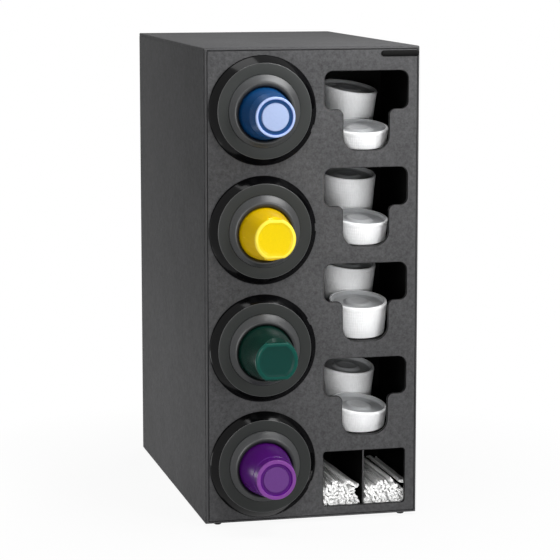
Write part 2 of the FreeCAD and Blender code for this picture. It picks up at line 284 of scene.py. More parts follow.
def standing(x: float, y: float, z: float) -> Place:
    """A place for a form whose axis runs up, starting from that point."""
    return lambda a, b, w: np.stack([x + a, y + b, z + w], axis=-1)


def sideways(x: float, y: float, z: float) -> Place:
    """A place for a flat form that faces along x, starting from that point."""
    return lambda a, b, w: np.stack([x + w, y + a, z + b], axis=-1)


def hanging(z: float) -> Place:
    """A place for a flat form that faces up at that height, its depth running down."""
    return lambda a, b, w: np.stack([a, b, z - w], axis=-1)


def turned(
    profile: np.ndarray,
    place: Place,
    sides: int = 96,
    angles: Optional[np.ndarray] = None,
    reshape: Optional[Callable[[np.ndarray, np.ndarray, np.ndarray], np.ndarray]] = None,
    drop: Optional[np.ndarray] = None,
    closed: bool = True,
    finish: Union[int, Sequence[int]] = 0,
) -> Sheet:
    """Turns a profile about its axis: each point is (radius cos t, radius sin t, depth).

    Args:
        profile: rows of (radius, depth along the axis).
        place: where the axis lies.
        sides: how many steps make the full turn.
        angles: the steps themselves, where they aren't even.
        reshape: gives the radii anew from (radius, depth, angle) grids.
        drop: how far each row's centre lies below the axis.
        closed: the profile runs back to its first point.
        finish: the material slot of the sheet or of each row.

    Returns:
        The turned sheet.
    """
    if angles is None:
        angles = np.linspace(0, 2 * math.pi, sides, endpoint=False)
    radius, angle = np.meshgrid(profile[:, 0], angles, indexing="ij")
    depth = np.broadcast_to(profile[:, 1][:, None], radius.shape)
    if reshape is not None:
        radius = reshape(radius, depth, angle)
    low = np.zeros(len(profile)) if drop is None else drop
    points = place(radius * np.cos(angle), radius * np.sin(angle) - low[:, None], depth)
    return Sheet(points, wrap_rows=closed, wrap_columns=True, finish=finish)


def arc_block(
    inner: float, outer: float, near: float, far: float, place: Place, centre: float, span: float
) -> list[Sheet]:
    """A block bent about an axis: the rectangle of its section swept over an angle, ends closed.

    Args:
        inner: its inner radius.
        outer: its outer radius.
        near: the depth of its front.
        far: the depth of its back.
        place: where the axis lies.
        centre: the angle of its middle.
        span: the angle that it fills.

    Returns:
        Its skin.
    """
    section = np.array([[inner, near], [outer, near], [outer, far], [inner, far]])
    steps = 12
    angles = np.linspace(centre - span / 2, centre + span / 2, steps + 1)
    body = turned(section, place, angles=angles)
    body.wrap_columns = False
    ends = [body.points[[[0, 1], [3, 2]], column] for column in (0, -1)]
    return [body] + [Sheet(end) for end in ends]


@dataclass
class Plate:
    """A flat sheet with rounded rims round its outline and round each hole.

    Attributes:
        outline: the outer (u, v, radius) corners, anticlockwise.
        thickness: of the sheet.
        holes: the corners of each hole, anticlockwise.
        rim: the radius of the front rims.
        back_rim: the radius of the back rims.
        finishes: the material slots of the front face, the rims and the back face.
        turn: the most degrees from one point of an arc to the next.
    """

    outline: Corners
    thickness: float
    holes: Sequence[Corners] = ()
    rim: float = 0.4 * MM
    back_rim: float = 0.3 * MM
    finishes: tuple = (0, 1, 0)
    turn: float = 10.0

    def _rim(self, corners: Corners, place: Place, hole: bool) -> tuple:
        """Carries the edge's section round one outline.

        The section is a quarter turn from the face into the wall, the wall, and a quarter turn out
        to the back face. It is laid off along each point's sideways direction.

        Args:
            corners: the outline.
            place: where the plate lies.
            hole: the outline is a hole's.

        Returns:
            The rim, and its flat lines on the front and on the back face.
        """
        line, way = rounded(corners, closed=True, turn=self.turn)
        inward = np.stack([-way[:, 1], way[:, 0]], axis=-1) * (-1 if hole else 1)
        steps = 4
        quarter = np.linspace(0, math.pi / 2, steps + 1)
        front = np.stack([1 - np.sin(quarter), 1 - np.cos(quarter)], axis=-1) * self.rim
        back = np.stack([1 - np.cos(quarter), np.sin(quarter) - 1], axis=-1) * self.back_rim
        back[:, 1] += self.thickness
        section = np.vstack([front, back])
        spread = line[None] + inward[None] * section[:, 0][:, None, None]
        depth = np.broadcast_to(section[:, 1][:, None], spread.shape[:2])
        points = place(spread[..., 0], spread[..., 1], depth)
        face, edge, behind = self.finishes
        marks = [face] + [edge] * (len(section) - 3) + [behind]
        return Sheet(points, wrap_columns=True, finish=marks), spread[0], spread[-1]

    @staticmethod
    def _within(points: np.ndarray, edges: np.ndarray) -> np.ndarray:
        """Tells which points lie in the sheet.

        A level ray to the right of a point inside crosses an odd number of all the loops' edges.

        Args:
            points: flat points.
            edges: pairs of flat points.

        Returns:
            True for each point in the sheet.
        """
        start, end = edges[:, 0], edges[:, 1]
        level = points[:, 1][:, None]
        spans = (start[:, 1] > level) != (end[:, 1] > level)
        rise = np.where(spans, end[:, 1] - start[:, 1], 1.0)
        cross = start[:, 0] + (level - start[:, 1]) / rise * (end[:, 0] - start[:, 0])
        return (spans & (cross > points[:, 0][:, None])).sum(axis=1) % 2 == 1

    def _face(self, loops: Sequence[np.ndarray], depth: float, place: Place) -> tuple:
        """Fills between loops of flat points with triangles that keep to the loops.

        Args:
            loops: the outline's points and each hole's.
            depth: of the face.
            place: where the plate lies.

        Returns:
            The points and the triangles.
        """
        flat = np.vstack(loops)
        steps = [np.arange(len(loop)) for loop in loops]
        starts = np.cumsum([0] + [len(loop) for loop in loops[:-1]])
        edges = np.vstack(
            [np.stack([step, np.roll(step, -1)], axis=-1) + start for step, start in zip(steps, starts)]
        )
        same_point = 1e-5
        places = [Vector(point) for point in (flat / MM).tolist()]
        filled = delaunay_2d_cdt(places, edges.tolist(), [], 1, same_point)
        corners = np.array([tuple(v) for v in filled[0]]) * MM
        triangles = np.array([list(face) for face in filled[2]])
        kept = self._within(corners[triangles].mean(axis=1), flat[edges])
        points = place(corners[:, 0], corners[:, 1], np.full(len(corners), depth))
        return points, triangles[kept]

    def build(self, mould: Mould, place: Place) -> Mould:
        """Adds the plate to a mould.

        Args:
            mould: the piece it is part of.
            place: where it lies; depth grows from its front face to its back one.

        Returns:
            The mould.
        """
        rims = [self._rim(self.outline, place, False)]
        rims += [self._rim(hole, place, True) for hole in self.holes]
        points, triangles = self._face([line for _, line, _ in rims], 0.0, place)
        front = (points, triangles[:, ::-1], self.finishes[0])
        back = (*self._face([line for _, _, line in rims], self.thickness, place), self.finishes[2])
        outer, *holes = [rim for rim, _, _ in rims]
        return mould.add([outer] + [hole.turned_round() for hole in holes], [front, back])


def oblong(u0: float, u1: float, v0: float, v1: float, radius: float) -> list:
    """The corners of an upright rectangle, anticlockwise."""
    return [(u0, v0, radius), (u1, v0, radius), (u1, v1, radius), (u0, v1, radius)]


def circle(u: float, v: float, radius: float, start: float = 0.0) -> list:
    """The corners of a round outline: the octagon round it, each corner an arc of its radius.

    Args:
        u: the middle across.
        v: the middle up.
        radius: of the circle.
        start: the angle of the first corner.

    Returns:
        The corners, anticlockwise.
    """
    sides = 8
    angles = np.linspace(0, 2 * math.pi, sides, endpoint=False) + start
    reach = radius / math.cos(math.pi / sides)
    return [(u + reach * math.cos(a), v + reach * math.sin(a), radius) for a in angles]


# Shader maths


class Wire:
    """A socket's value in an expression. Each operator adds its Math node."""

    def __init__(self, recipe: "Recipe", socket: bpy.types.NodeSocket) -> None:
        """Holds the socket and the recipe that it belongs to."""
        self.recipe = recipe
        self.socket = socket

    def _with(self, operation: str, first: "Value", second: "Value") -> "Wire":
        """Adds the Math node of an operation on two values."""
        return self.recipe.node("ShaderNodeMath", {"operation": operation}, {0: first, 1: second})

    def __add__(self, other: "Value") -> "Wire":
        """self + other."""
        return self._with("ADD", self, other)

    def __radd__(self, other: "Value") -> "Wire":
        """other + self."""
        return self._with("ADD", other, self)

    def __sub__(self, other: "Value") -> "Wire":
        """self - other."""
        return self._with("SUBTRACT", self, other)

    def __rsub__(self, other: "Value") -> "Wire":
        """other - self."""
        return self._with("SUBTRACT", other, self)

    def __mul__(self, other: "Value") -> "Wire":
        """self * other."""
        return self._with("MULTIPLY", self, other)

    def __rmul__(self, other: "Value") -> "Wire":
        """other * self."""
        return self._with("MULTIPLY", other, self)

    def clipped(self) -> "Wire":
        """This value kept between 0 and 1."""
        return self.recipe.node("ShaderNodeClamp", {}, {"Value": self})


Value = Union[Wire, float, tuple]


class Recipe:
    """A node tree being written: one method adds any node, the rest are short names for it."""

    def __init__(self, owner: Owner) -> None:
        """Starts with an empty tree.

        Args:
            owner: the material or world that the tree belongs to.
        """
        self.owner = owner
        owner.use_nodes = True
        self.tree = owner.node_tree
        self.tree.nodes.clear()

    @classmethod
    def of(cls, name: str) -> "Recipe":
        """Starts a new material of that name."""
        return cls(bpy.data.materials.new(name))

    @cached_property
    def place(self) -> Wire:
        """The shaded point in the piece's own measure."""
        return self.node("ShaderNodeTexCoord", output="Object")

    def node(
        self,
        kind: str,
        settings: Optional[dict] = None,
        inputs: Optional[dict] = None,
        output: Union[int, str] = 0,
    ) -> Wire:
        """Adds a node.

        Args:
            kind: its type.
            settings: its own settings, set first.
            inputs: a value or wire for each socket named.
            output: which output the wire comes from.

        Returns:
            The wire from that output.
        """
        new = self.tree.nodes.new(kind)
        for key, value in (settings or {}).items():
            setattr(new, key, value)
        for key, value in (inputs or {}).items():
            self.feed(new.inputs[key], value)
        return Wire(self, new.outputs[output])

    def feed(self, socket: bpy.types.NodeSocket, value: Value) -> None:
        """Links a wire to a socket, or sets the socket's own value.

        Args:
            socket: an input.
            value: the wire or the plain value.
        """
        if isinstance(value, Wire):
            self.tree.links.new(value.socket, socket)
        else:
            socket.default_value = value

    def stretched(self, scale: tuple[float, float, float]) -> Wire:
        """The place stretched along the axes, for streaks."""
        return self.node("ShaderNodeMapping", {}, {"Vector": self.place, "Scale": scale})

    def noise(
        self, size: float, detail: float = 2.0, rough: float = 0.5, at: Optional[Wire] = None
    ) -> Wire:
        """Soft noise whose blobs are about size metres across."""
        inputs = {"Vector": at or self.place, "Scale": 1 / size, "Detail": detail, "Roughness": rough}
        return self.node("ShaderNodeTexNoise", {}, inputs)

    def pebbles(self, size: float) -> Wire:
        """Rounded cells about size metres across."""
        inputs = {"Vector": self.place, "Scale": 1 / size}
        return self.node("ShaderNodeTexVoronoi", {"feature": "SMOOTH_F1"}, inputs)

    def ramp(self, share: Wire, low: float, high: float) -> Wire:
        """0 below low, 1 above high and even between."""
        inputs = {"Value": share, "From Min": low, "From Max": high}
        return self.node("ShaderNodeMapRange", {}, inputs)

    def tinted(self, colour: tuple, light: Value) -> Wire:
        """A colour made lighter or darker by a wire."""
        return self.node("ShaderNodeVectorMath", {"operation": "SCALE"}, {0: colour[:3], "Scale": light})

    def bump(self, height: Wire, strength: float, distance: float) -> Wire:
        """A normal from a height."""
        inputs = {"Height": height, "Strength": strength, "Distance": distance}
        return self.node("ShaderNodeBump", {}, inputs)

    def seen(self) -> Wire:
        """Tells a surface that is seen directly, in a mirror or through glass from one that lights.

        Returns:
            1 for a camera, glossy or transmission ray, and 0 for any other.
        """
        first, second, third = [
            self.node("ShaderNodeLightPath", output=kind)
            for kind in ("Is Camera Ray", "Is Glossy Ray", "Is Transmission Ray")
        ]
        return (first + second + third).clipped()

    def close(self, shader: Wire, output: str = "ShaderNodeOutputMaterial") -> Owner:
        """Adds the output node.

        Args:
            shader: what it shows.
            output: the output node's type.

        Returns:
            The material or world.
        """
        end = self.tree.nodes.new(output)
        self.feed(end.inputs[0], shader)
        return self.owner

    def finish(self, **sockets: Value) -> bpy.types.Material:
        """Closes the recipe with the one surface shader that all finishes share.

        Args:
            sockets: values by the shader's socket names, with _ for each blank.

        Returns:
            The material.
        """
        inputs = {name.replace("_", " "): value for name, value in sockets.items()}
        return self.close(self.node("ShaderNodeBsdfPrincipled", {}, inputs))


def milky(weight: float, depth: float) -> dict:
    """The shader's values for light that sinks into a pale wall, the same for every colour.

    Args:
        weight: the share that sinks in.
        depth: how far it goes.

    Returns:
        The values by socket name.
    """
    return {"Subsurface_Weight": weight, "Subsurface_Radius": (1.0, 1.0, 1.0), "Subsurface_Scale": depth}


# Finishes


@dataclass(frozen=True)
class GrainedSheet:
    """Black plastic sheet with a fine pebbled grain under a soft mottle.

    Attributes:
        name: the material's name.
        colour: its middle tone.
        grain: how wide the pebbles are.
        mottle: how wide the soft spots are.
        drift: how wide the slow changes are.
        depth: of the grain.
    """

    name: str = "grained_sheet"
    colour: tuple = linear(72, 72, 73)
    grain: float = 3.0 * MM
    mottle: float = 8.0 * MM
    drift: float = 70.0 * MM
    depth: float = 0.4 * MM

    def material(self) -> bpy.types.Material:
        """Makes the material.

        Returns:
            The material, with its nodes.
        """
        recipe = Recipe.of(self.name)
        pebbles = recipe.pebbles(self.grain)
        fine = recipe.noise(self.grain, 3.0, 0.6)
        cloud = recipe.noise(self.mottle, 3.0, 0.6)
        wide = recipe.noise(self.drift, 2.0)
        light = fine * 0.9 + cloud * 0.9 + wide * 0.3 - 0.05
        return recipe.finish(
            Base_Color=recipe.tinted(self.colour, light),
            Roughness=0.6 + fine * 0.16,
            Specular_IOR_Level=0.05,
            Normal=recipe.bump(pebbles * 0.7 + fine * 0.5, 0.5, self.depth),
        )


@dataclass(frozen=True)
class PlainPlastic:
    """Smooth moulded or cut plastic with faint clouding and fine scuffs.

    Attributes:
        name: the material's name.
        colour: its middle tone.
        rough: the middle of its roughness.
        specular: how strongly it mirrors.
        cloud: how much its tone changes.
        wave: how much its surface does.
        spot: how wide a cloud is.
        scuff: how wide a scuff is.
        depth: of the waves.
    """

    name: str
    colour: tuple
    rough: float = 0.35
    specular: float = 0.5
    cloud: float = 0.1
    wave: float = 0.02
    spot: float = 18.0 * MM
    scuff: float = 1.2 * MM
    depth: float = 0.6 * MM

    def material(self) -> bpy.types.Material:
        """Makes the material.

        Returns:
            The material, with its nodes.
        """
        recipe = Recipe.of(self.name)
        cloud = recipe.noise(self.spot, 3.0, 0.55)
        scuff = recipe.noise(self.scuff, 2.0, 0.6)
        rough = self.rough - 0.03 + cloud * 0.04 + scuff * 0.03
        return recipe.finish(
            Base_Color=recipe.tinted(self.colour, 1 - self.cloud * 0.5 + cloud * self.cloud),
            Roughness=rough.clipped(),
            Specular_IOR_Level=self.specular,
            Normal=recipe.bump(cloud + scuff * 0.05, self.wave, self.depth),
        )


@dataclass(frozen=True)
class DiaphragmRubber:
    """Satin black rubber with a fine bloom and a hair of moulding grain.

    Attributes:
        name: the material's name.
        colour: its middle tone.
        bloom: how wide a patch of bloom is.
        grain: how wide the grain is.
        depth: of the grain.
    """

    name: str = "diaphragm_rubber"
    colour: tuple = linear(46, 47, 48)
    bloom: float = 9.0 * MM
    grain: float = 0.8 * MM
    depth: float = 0.3 * MM

    def material(self) -> bpy.types.Material:
        """Makes the material.

        Returns:
            The material, with its nodes.
        """
        recipe = Recipe.of(self.name)
        bloom = recipe.noise(self.bloom, 4.0, 0.6)
        grain = recipe.noise(self.grain, 2.0, 0.5)
        return recipe.finish(
            Base_Color=recipe.tinted(self.colour, 0.8 + bloom * 0.4),
            Roughness=0.3 + bloom * 0.12,
            Specular_IOR_Level=0.45,
            Normal=recipe.bump(grain + bloom, 0.08, self.depth),
        )


@dataclass(frozen=True)
class CupPlastic:
    """Thin injection-moulded cup wall: clear colour, slight flow marks along the wall.

    Attributes:
        name: the material's name.
        colour: its middle tone.
        rough: the middle of its roughness.
        glow: the share of light that sinks in.
        flow: how wide a flow mark is.
        speck: how wide a speck is.
        depth: of the marks.
    """

    name: str
    colour: tuple
    rough: float = 0.3
    glow: float = 0.04
    flow: float = 4.0 * MM
    speck: float = 0.9 * MM
    depth: float = 0.3 * MM

    def material(self) -> bpy.types.Material:
        """Makes the material.

        Returns:
            The material, with its nodes.
        """
        recipe = Recipe.of(self.name)
        flow = recipe.noise(self.flow, 3.0, 0.6, recipe.stretched((1.0, 0.18, 1.0)))
        speck = recipe.noise(self.speck, 2.0)
        return recipe.finish(
            Base_Color=recipe.tinted(self.colour, 0.93 + flow * 0.14),
            Roughness=(self.rough - 0.04 + flow * 0.1).clipped(),
            Specular_IOR_Level=0.14,
            Normal=recipe.bump(flow + speck * 0.1, 0.06, self.depth),
            **milky(self.glow, 2 * MM),
        )


@dataclass(frozen=True)
class LidPlastic:
    """Milky lid plastic: pale, smooth, clouded where the sheet is thin.

    Attributes:
        name: the material's name.
        colour: its middle tone.
        rough: the least of its roughness.
        thin: how wide a thin patch is.
        draw: how wide a drawing mark is.
        depth: of the marks.
    """

    name: str
    colour: tuple
    rough: float = 0.28
    thin: float = 14.0 * MM
    draw: float = 2.5 * MM
    depth: float = 0.4 * MM

    def material(self) -> bpy.types.Material:
        """Makes the material.

        Returns:
            The material, with its nodes.
        """
        recipe = Recipe.of(self.name)
        thin = recipe.noise(self.thin, 3.0, 0.55)
        draw = recipe.noise(self.draw, 2.0, 0.5, recipe.stretched((1.0, 1.0, 0.2)))
        return recipe.finish(
            Base_Color=recipe.tinted(self.colour, 0.84 + thin * 0.16 + draw * 0.16),
            Roughness=self.rough + thin * 0.08,
            Normal=recipe.bump(draw + thin, 0.12, self.depth),
            **milky(0.2, 2 * MM),
        )


@dataclass(frozen=True)
class StrawPaper:
    """Thin white wrapping paper, creased, with the straw's shade showing through in places.

    Attributes:
        name: the material's name.
        colour: its middle tone.
        crease: how wide a crease is.
        shade: how wide a shaded patch is.
        depth: of the creases.
    """

    name: str = "straw_paper"
    colour: tuple = linear(255, 255, 254)
    crease: float = 2.2 * MM
    shade: float = 6.0 * MM
    depth: float = 0.5 * MM

    def material(self) -> bpy.types.Material:
        """Makes the material.

        Returns:
            The material, with its nodes.
        """
        recipe = Recipe.of(self.name)
        crease = recipe.noise(self.crease, 4.0, 0.65, recipe.stretched((1.0, 0.35, 1.0)))
        shade = recipe.noise(self.shade, 2.0)
        return recipe.finish(
            Base_Color=recipe.tinted(self.colour, 0.9 + crease * 0.14 + shade * 0.08),
            Roughness=0.72,
            Specular_IOR_Level=0.25,
            Normal=recipe.bump(crease, 0.3, self.depth),
            **milky(0.35, 3 * MM),
        )


@dataclass(frozen=True)
class SpringWire:
    """Drawn steel wire with faint die lines.

    Attributes:
        name: the material's name.
        colour: of the steel.
        line: how wide a die line is.
        depth: of the lines.
    """

    name: str = "spring_wire"
    colour: tuple = linear(168, 168, 172)
    line: float = 0.6 * MM
    depth: float = 0.1 * MM

    def material(self) -> bpy.types.Material:
        """Makes the material.

        Returns:
            The material, with its nodes.
        """
        recipe = Recipe.of(self.name)
        lines = recipe.noise(self.line, 2.0, 0.5)
        return recipe.finish(
            Base_Color=recipe.tinted(self.colour, 0.85 + lines * 0.3),
            Metallic=1.0,
            Roughness=0.28 + lines * 0.15,
            Normal=recipe.bump(lines, 0.1, self.depth),
        )


class Finishes:
    """Every material, made once."""

    def __init__(self) -> None:
        """Makes the materials."""
        self.grained = GrainedSheet().material()
        self.cut_edge = PlainPlastic("cut_edge", linear(22, 22, 23), 0.4, 0.1).material()
        self.divider = PlainPlastic("divider_sheet", linear(64, 64, 65), 0.35, 0.2).material()
        self.polished = PlainPlastic("polished_edge", linear(70, 70, 71), 0.45, 0.1).material()
        # Near-black for every face inside the cabinet: painted shade, since the inside is the same black
        # sheet as the grained outside and is dark only from shadow.
        self.inner = PlainPlastic("inner_sheet", linear(7, 7, 7), 0.5, 0.05).material()
        self.tube = PlainPlastic("tube_plastic", linear(24, 24, 25), 0.45, 0.2).material()
        self.collar_side = PlainPlastic("collar_polished", linear(7, 7, 8), 0.12, 0.12).material()
        # The collar face, a lighter grey than the polished side of the same black moulding: painted sheen
        # for the soft light that the front-facing face mirrors; its rougher finish is the moulding's own.
        self.collar_face = PlainPlastic("collar_satin", linear(38, 40, 39), 0.34, 0.18).material()
        # A lighter grey round the collar face's edge: a painted highlight for the light line on its
        # rounded edge.
        self.collar_edge = PlainPlastic("collar_worn_edge", linear(64, 65, 65), 0.3, 0.4).material()
        self.rubber = DiaphragmRubber().material()
        # A darker rubber for the rows next to the cup: painted shade where the diaphragm turns in towards
        # the cup.
        self.rubber_lip = DiaphragmRubber("diaphragm_lip", linear(24, 25, 26)).material()
        self.pusher = PlainPlastic("pusher_plastic", linear(120, 120, 118), 0.45).material()
        self.wire = SpringWire().material()
        self.lid_wall = LidPlastic("lid_wall", linear(250, 251, 252)).material()
        # The top lid's dish, the same milky plastic as the wall but a darker grey: painted shade on the
        # lid tops.
        self.lid_dish = LidPlastic("lid_dish", linear(186, 188, 190), 0.16).material()
        self.paper = StrawPaper().material()
        self.foot = PlainPlastic("foot_rubber", linear(28, 28, 28), 0.7, 0.3).material()
        self.badge = PlainPlastic("badge_plate", linear(5, 5, 5), 0.3, 0.05).material()


def settle(piece: bpy.types.Object, body: str, slot: str, *nodes: str) -> bpy.types.Object:
    """Puts a piece on its body in place of CAD nodes.

    Args:
        piece: the finished piece.
        body: the body that it rides on.
        slot: the material slot of the record that its finish belongs to; not used.
        nodes: the CAD nodes that it stands for.

    Returns:
        The piece.
    """
    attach(piece, body)
    if nodes:
        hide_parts(*nodes)
    log.info("%s rides on %s with %d faces", piece.name, body, len(piece.data.polygons))
    return piece


# The cabinet


@dataclass(frozen=True)
class Shelf:
    """The floor of one lid bay, which slopes down to the face sheet.

    Attributes:
        number: which bay.
        tilt: of the slope.
        thickness: of the sheet.
        edge: the radius of its corners and front rims.
    """

    number: int
    tilt: float = math.radians(10)
    thickness: float = 4.0 * MM
    edge: float = 0.3 * MM

    @property
    def node(self) -> str:
        """The CAD node."""
        return "lid_shelf_%d" % self.number

    @property
    def start(self) -> float:
        """Where it meets the face sheet's back."""
        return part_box(self.node)[0][1]

    @property
    def run(self) -> float:
        """How far it reaches back, along the level."""
        low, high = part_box(self.node)
        return high[1] - low[1]

    @property
    def floor(self) -> float:
        """The height of its front edge's top."""
        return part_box(self.node)[1][2] - self.run * math.tan(self.tilt)

    def pile(self, x: float, along: float, height: float, lean: float) -> Place:
        """A place for a pile that stands square on the slope and leans right towards its top.

        At height w the pile's rings have turned by lean times w / height, so its middle has moved
        right by half that angle times w.

        Args:
            x: the middle of its foot.
            along: how far up the slope its foot is.
            height: of the pile.
            lean: the turn of its top ring.

        Returns:
            The place, for forms whose axis runs up.
        """

        def lay(a: np.ndarray, b: np.ndarray, w: np.ndarray) -> np.ndarray:
            """Bends the pile, then sets it on the slope.

            Args:
                a: across the pile.
                b: along the slope.
                w: over the pile's foot.

            Returns:
                The points.
            """
            turn = lean * w / height
            above = w - a * np.sin(turn)
            up = along + b
            across = x + w * turn / 2 + a * np.cos(turn)
            back = self.start + up * math.cos(self.tilt) - above * math.sin(self.tilt)
            high = self.floor + up * math.sin(self.tilt) + above * math.cos(self.tilt)
            return np.stack([across, back, high], axis=-1)

        return lay

    def sheet(self) -> Mould:
        """The sloping sheet, a little short of its CAD node at both ends, where that is cut plumb.

        Returns:
            The sheet's mould.
        """
        low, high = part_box(self.node)
        slack = self.thickness * math.tan(self.tilt)
        length = self.run / math.cos(self.tilt) - slack
        outline = oblong(low[0], high[0], 0, length, self.edge)
        lay = self.pile(0.0, 0.0, 1.0, 0.0)
        plate = Plate(outline, self.thickness, rim=self.edge, back_rim=0.2 * MM)
        return plate.build(Mould("bay_floor_%d" % self.number), lambda a, b, w: lay(a, b, -w))


class Facing(Enum):
    """Which way a plain sheet faces: the axes along its width, its height and its thickness."""

    FRONT = (0, 2, 1)
    LEFT = (1, 2, 0)
    UP = (0, 1, 2)

    def place(self, low: Sequence[float], high: Sequence[float]) -> Place:
        """The place of a sheet whose box is known.

        Args:
            low: the box's lowest corner.
            high: its highest one.

        Returns:
            The place, with no depth at the sheet's front.
        """
        if self is Facing.UP:
            return hanging(high[2])
        return lying(0, low[1], 0) if self is Facing.FRONT else sideways(low[0], 0, 0)


@dataclass
class Cabinet:
    """The cemented sheets: face sheet with its openings, shell, inner walls, feet and bare plate.

    The sheets' own places come from the frame.

    Attributes:
        face_rim: the radius of the face sheet's rims.
        face_corner: the radius of its corners.
        border: how wide the shell's edge shows round the face sheet.
        border_rim: the radius of that edge's rims.
        border_gap: by how much the edge reaches over the face sheet.
        shell_corner: the radius of the shell's front corners.
        hole_radius: of the round holes.
        bay_from_left: where the T-shaped openings' middles lie.
        bay_top_width: how wide their upper part is.
        bay_top_height: how tall that part is.
        bay_slot_width: how wide their lower part is.
        bay_height: of a whole opening, from the bay's floor.
        bay_lip: how far the face sheet stands over the bay's floor.
        bay_radii: of the top, outer, inner and low corners.
        straw_from_left: where the straw opening's middle lies.
        straw_width: of that opening.
        straw_height: of that opening.
        straw_lip: how far it lies over the cabinet's underside.
        straw_radius: of its corners.
        badge_from_left: where the plate starts.
        badge_from_top: how far it lies under the top.
        badge_size: its width and height.
        badge_thickness: of the plate.
        divider_edge: the radii of the divider's corners and rims.
        foot_radii: of a foot's pad and of its wall.
        foot_inset: from the feet's box to a foot's middle.
    """

    face_rim: float = 1.7 * MM
    face_corner: float = 2.0 * MM
    border: float = 3.0 * MM
    border_rim: float = 1.0 * MM
    border_gap: float = 0.25 * MM
    shell_corner: float = 1.0 * MM
    hole_radius: float = 59.0 * MM
    bay_from_left: float = 283.0 * MM
    bay_top_width: float = 147.5 * MM
    bay_top_height: float = 65.2 * MM
    bay_slot_width: float = 81.0 * MM
    bay_height: float = 138.0 * MM
    bay_lip: float = 2.2 * MM
    bay_radii: tuple = (14.0 * MM, 12.5 * MM, 11.0 * MM, 25.0 * MM)
    straw_from_left: float = 282.0 * MM
    straw_width: float = 147.0 * MM
    straw_height: float = 97.0 * MM
    straw_lip: float = 20.0 * MM
    straw_radius: float = 5.0 * MM
    badge_from_left: float = 308.0 * MM
    badge_from_top: float = 7.0 * MM
    badge_size: tuple = (68.0 * MM, 10.5 * MM)
    badge_thickness: float = 0.9 * MM
    divider_edge: tuple = (0.8 * MM, 1.1 * MM)
    foot_radii: tuple = (5.6 * MM, 7.9 * MM)
    foot_inset: float = 8.0 * MM

    def bay(self, floor: float) -> list:
        """The T-shaped opening over one bay floor.

        Args:
            floor: the height of the floor's front edge.

        Returns:
            The corners, anticlockwise.
        """
        x = LEFT + self.bay_from_left
        wide, slim = self.bay_top_width / 2, self.bay_slot_width / 2
        high = floor + self.bay_height
        ledge = high - self.bay_top_height
        top, outer, inner, low = self.bay_radii
        right = [
            (x + slim, floor + self.bay_lip, low),
            (x + slim, ledge, inner),
            (x + wide, ledge, outer),
            (x + wide, high, top),
        ]
        left = [(2 * x - u, v, radius) for u, v, radius in reversed(right)]
        return right + left

    @staticmethod
    def face_box() -> tuple[np.ndarray, np.ndarray]:
        """The corners of the whole face."""
        boxes = [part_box(node) for node in FACE]
        return np.min([box[0] for box in boxes], axis=0), np.max([box[1] for box in boxes], axis=0)

    def face_plate(
        self, outside: float, corner: float, holes: Sequence[Corners], **edges: Union[float, tuple]
    ) -> Plate:
        """A plate as thick as the face, with its outline drawn in.

        Args:
            outside: how far the outline is drawn in.
            corner: the radius of its corners.
            holes: the corners of each hole.
            edges: the plate's other settings.

        Returns:
            The plate.
        """
        low, high = self.face_box()
        outline = oblong(low[0] + outside, high[0] - outside, low[2] + outside, high[2] - outside, corner)
        return Plate(outline, high[1] - low[1], holes, **edges)

    def edge_frame(self) -> Mould:
        """The shell's front edge, which frames the face sheet.

        Returns:
            The edge's mould.
        """
        inner = self.face_plate(self.border - self.border_gap, self.face_corner, ())
        plate = self.face_plate(
            0.0, self.shell_corner, [inner.outline], rim=self.border_rim, back_rim=0.1 * MM
        )
        return plate.build(Mould("edge_frame"), lying(0, FRONT, 0))

    def face_sheet(self) -> Mould:
        """The face sheet with its round, T-shaped and straw openings.

        Returns:
            The sheet's mould.
        """
        start = math.pi / 8
        holes = [circle(*head_centre(n), self.hole_radius, start) for n in HEADS]
        holes += [self.bay(Shelf(n).floor) for n in HEADS]
        x, z = LEFT + self.straw_from_left, BOTTOM + self.straw_lip
        half = self.straw_width / 2
        holes.append(oblong(x - half, x + half, z, z + self.straw_height, self.straw_radius))
        plate = self.face_plate(
            self.border, self.face_corner, holes, rim=self.face_rim, finishes=(0, 1, 2), turn=6.0
        )
        return plate.build(Mould("face_sheet"), lying(0, FRONT, 0))

    def sheet(
        self, node: str, facing: Facing, rim: float, name: str, finishes: tuple = (0, 1, 0)
    ) -> Mould:
        """A plain sheet as large as its CAD node, with its rims rounded.

        Args:
            node: the CAD node.
            facing: which way its front faces.
            rim: the rims' radius.
            name: the piece's name.
            finishes: the material slots of its front, rims and back.

        Returns:
            The sheet's mould.
        """
        low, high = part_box(node)
        across, up, through = facing.value
        least_corner = 0.3 * MM
        outline = oblong(low[across], high[across], low[up], high[up], max(rim, least_corner))
        plate = Plate(outline, high[through] - low[through], rim=rim, back_rim=rim / 2, finishes=finishes)
        return plate.build(Mould(name), facing.place(low, high))

    def divider(self) -> Mould:
        """The upright sheet in the straw bin, with its top edge along the shelf above it.

        Returns:
            The sheet's mould.
        """
        low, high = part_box("straw_divider")
        drop = (high[1] - low[1]) * math.tan(Shelf(HEADS[-1]).tilt)
        corner, rim = self.divider_edge
        outline = oblong(low[1], high[1], low[2], high[2], corner)
        outline[-1] = (low[1], high[2] - drop, corner)
        plate = Plate(outline, high[0] - low[0], rim=rim, back_rim=rim)
        return plate.build(Mould("divider_blade"), sideways(low[0], 0, 0))

    def badge(self) -> Mould:
        """The bare rounded plate near the top right corner of the face.

        Returns:
            The plate's mould.
        """
        x, z = LEFT + self.badge_from_left, TOP - self.badge_from_top
        wide, high = self.badge_size
        nearly_half = high / 2 * 0.999
        outline = oblong(x, x + wide, z - high, z, nearly_half)
        plate = Plate(outline, self.badge_thickness, rim=0.45 * MM, back_rim=0.1 * MM, turn=8.0)
        return plate.build(Mould("bare_plate"), lying(0, FRONT - self.badge_thickness, 0))

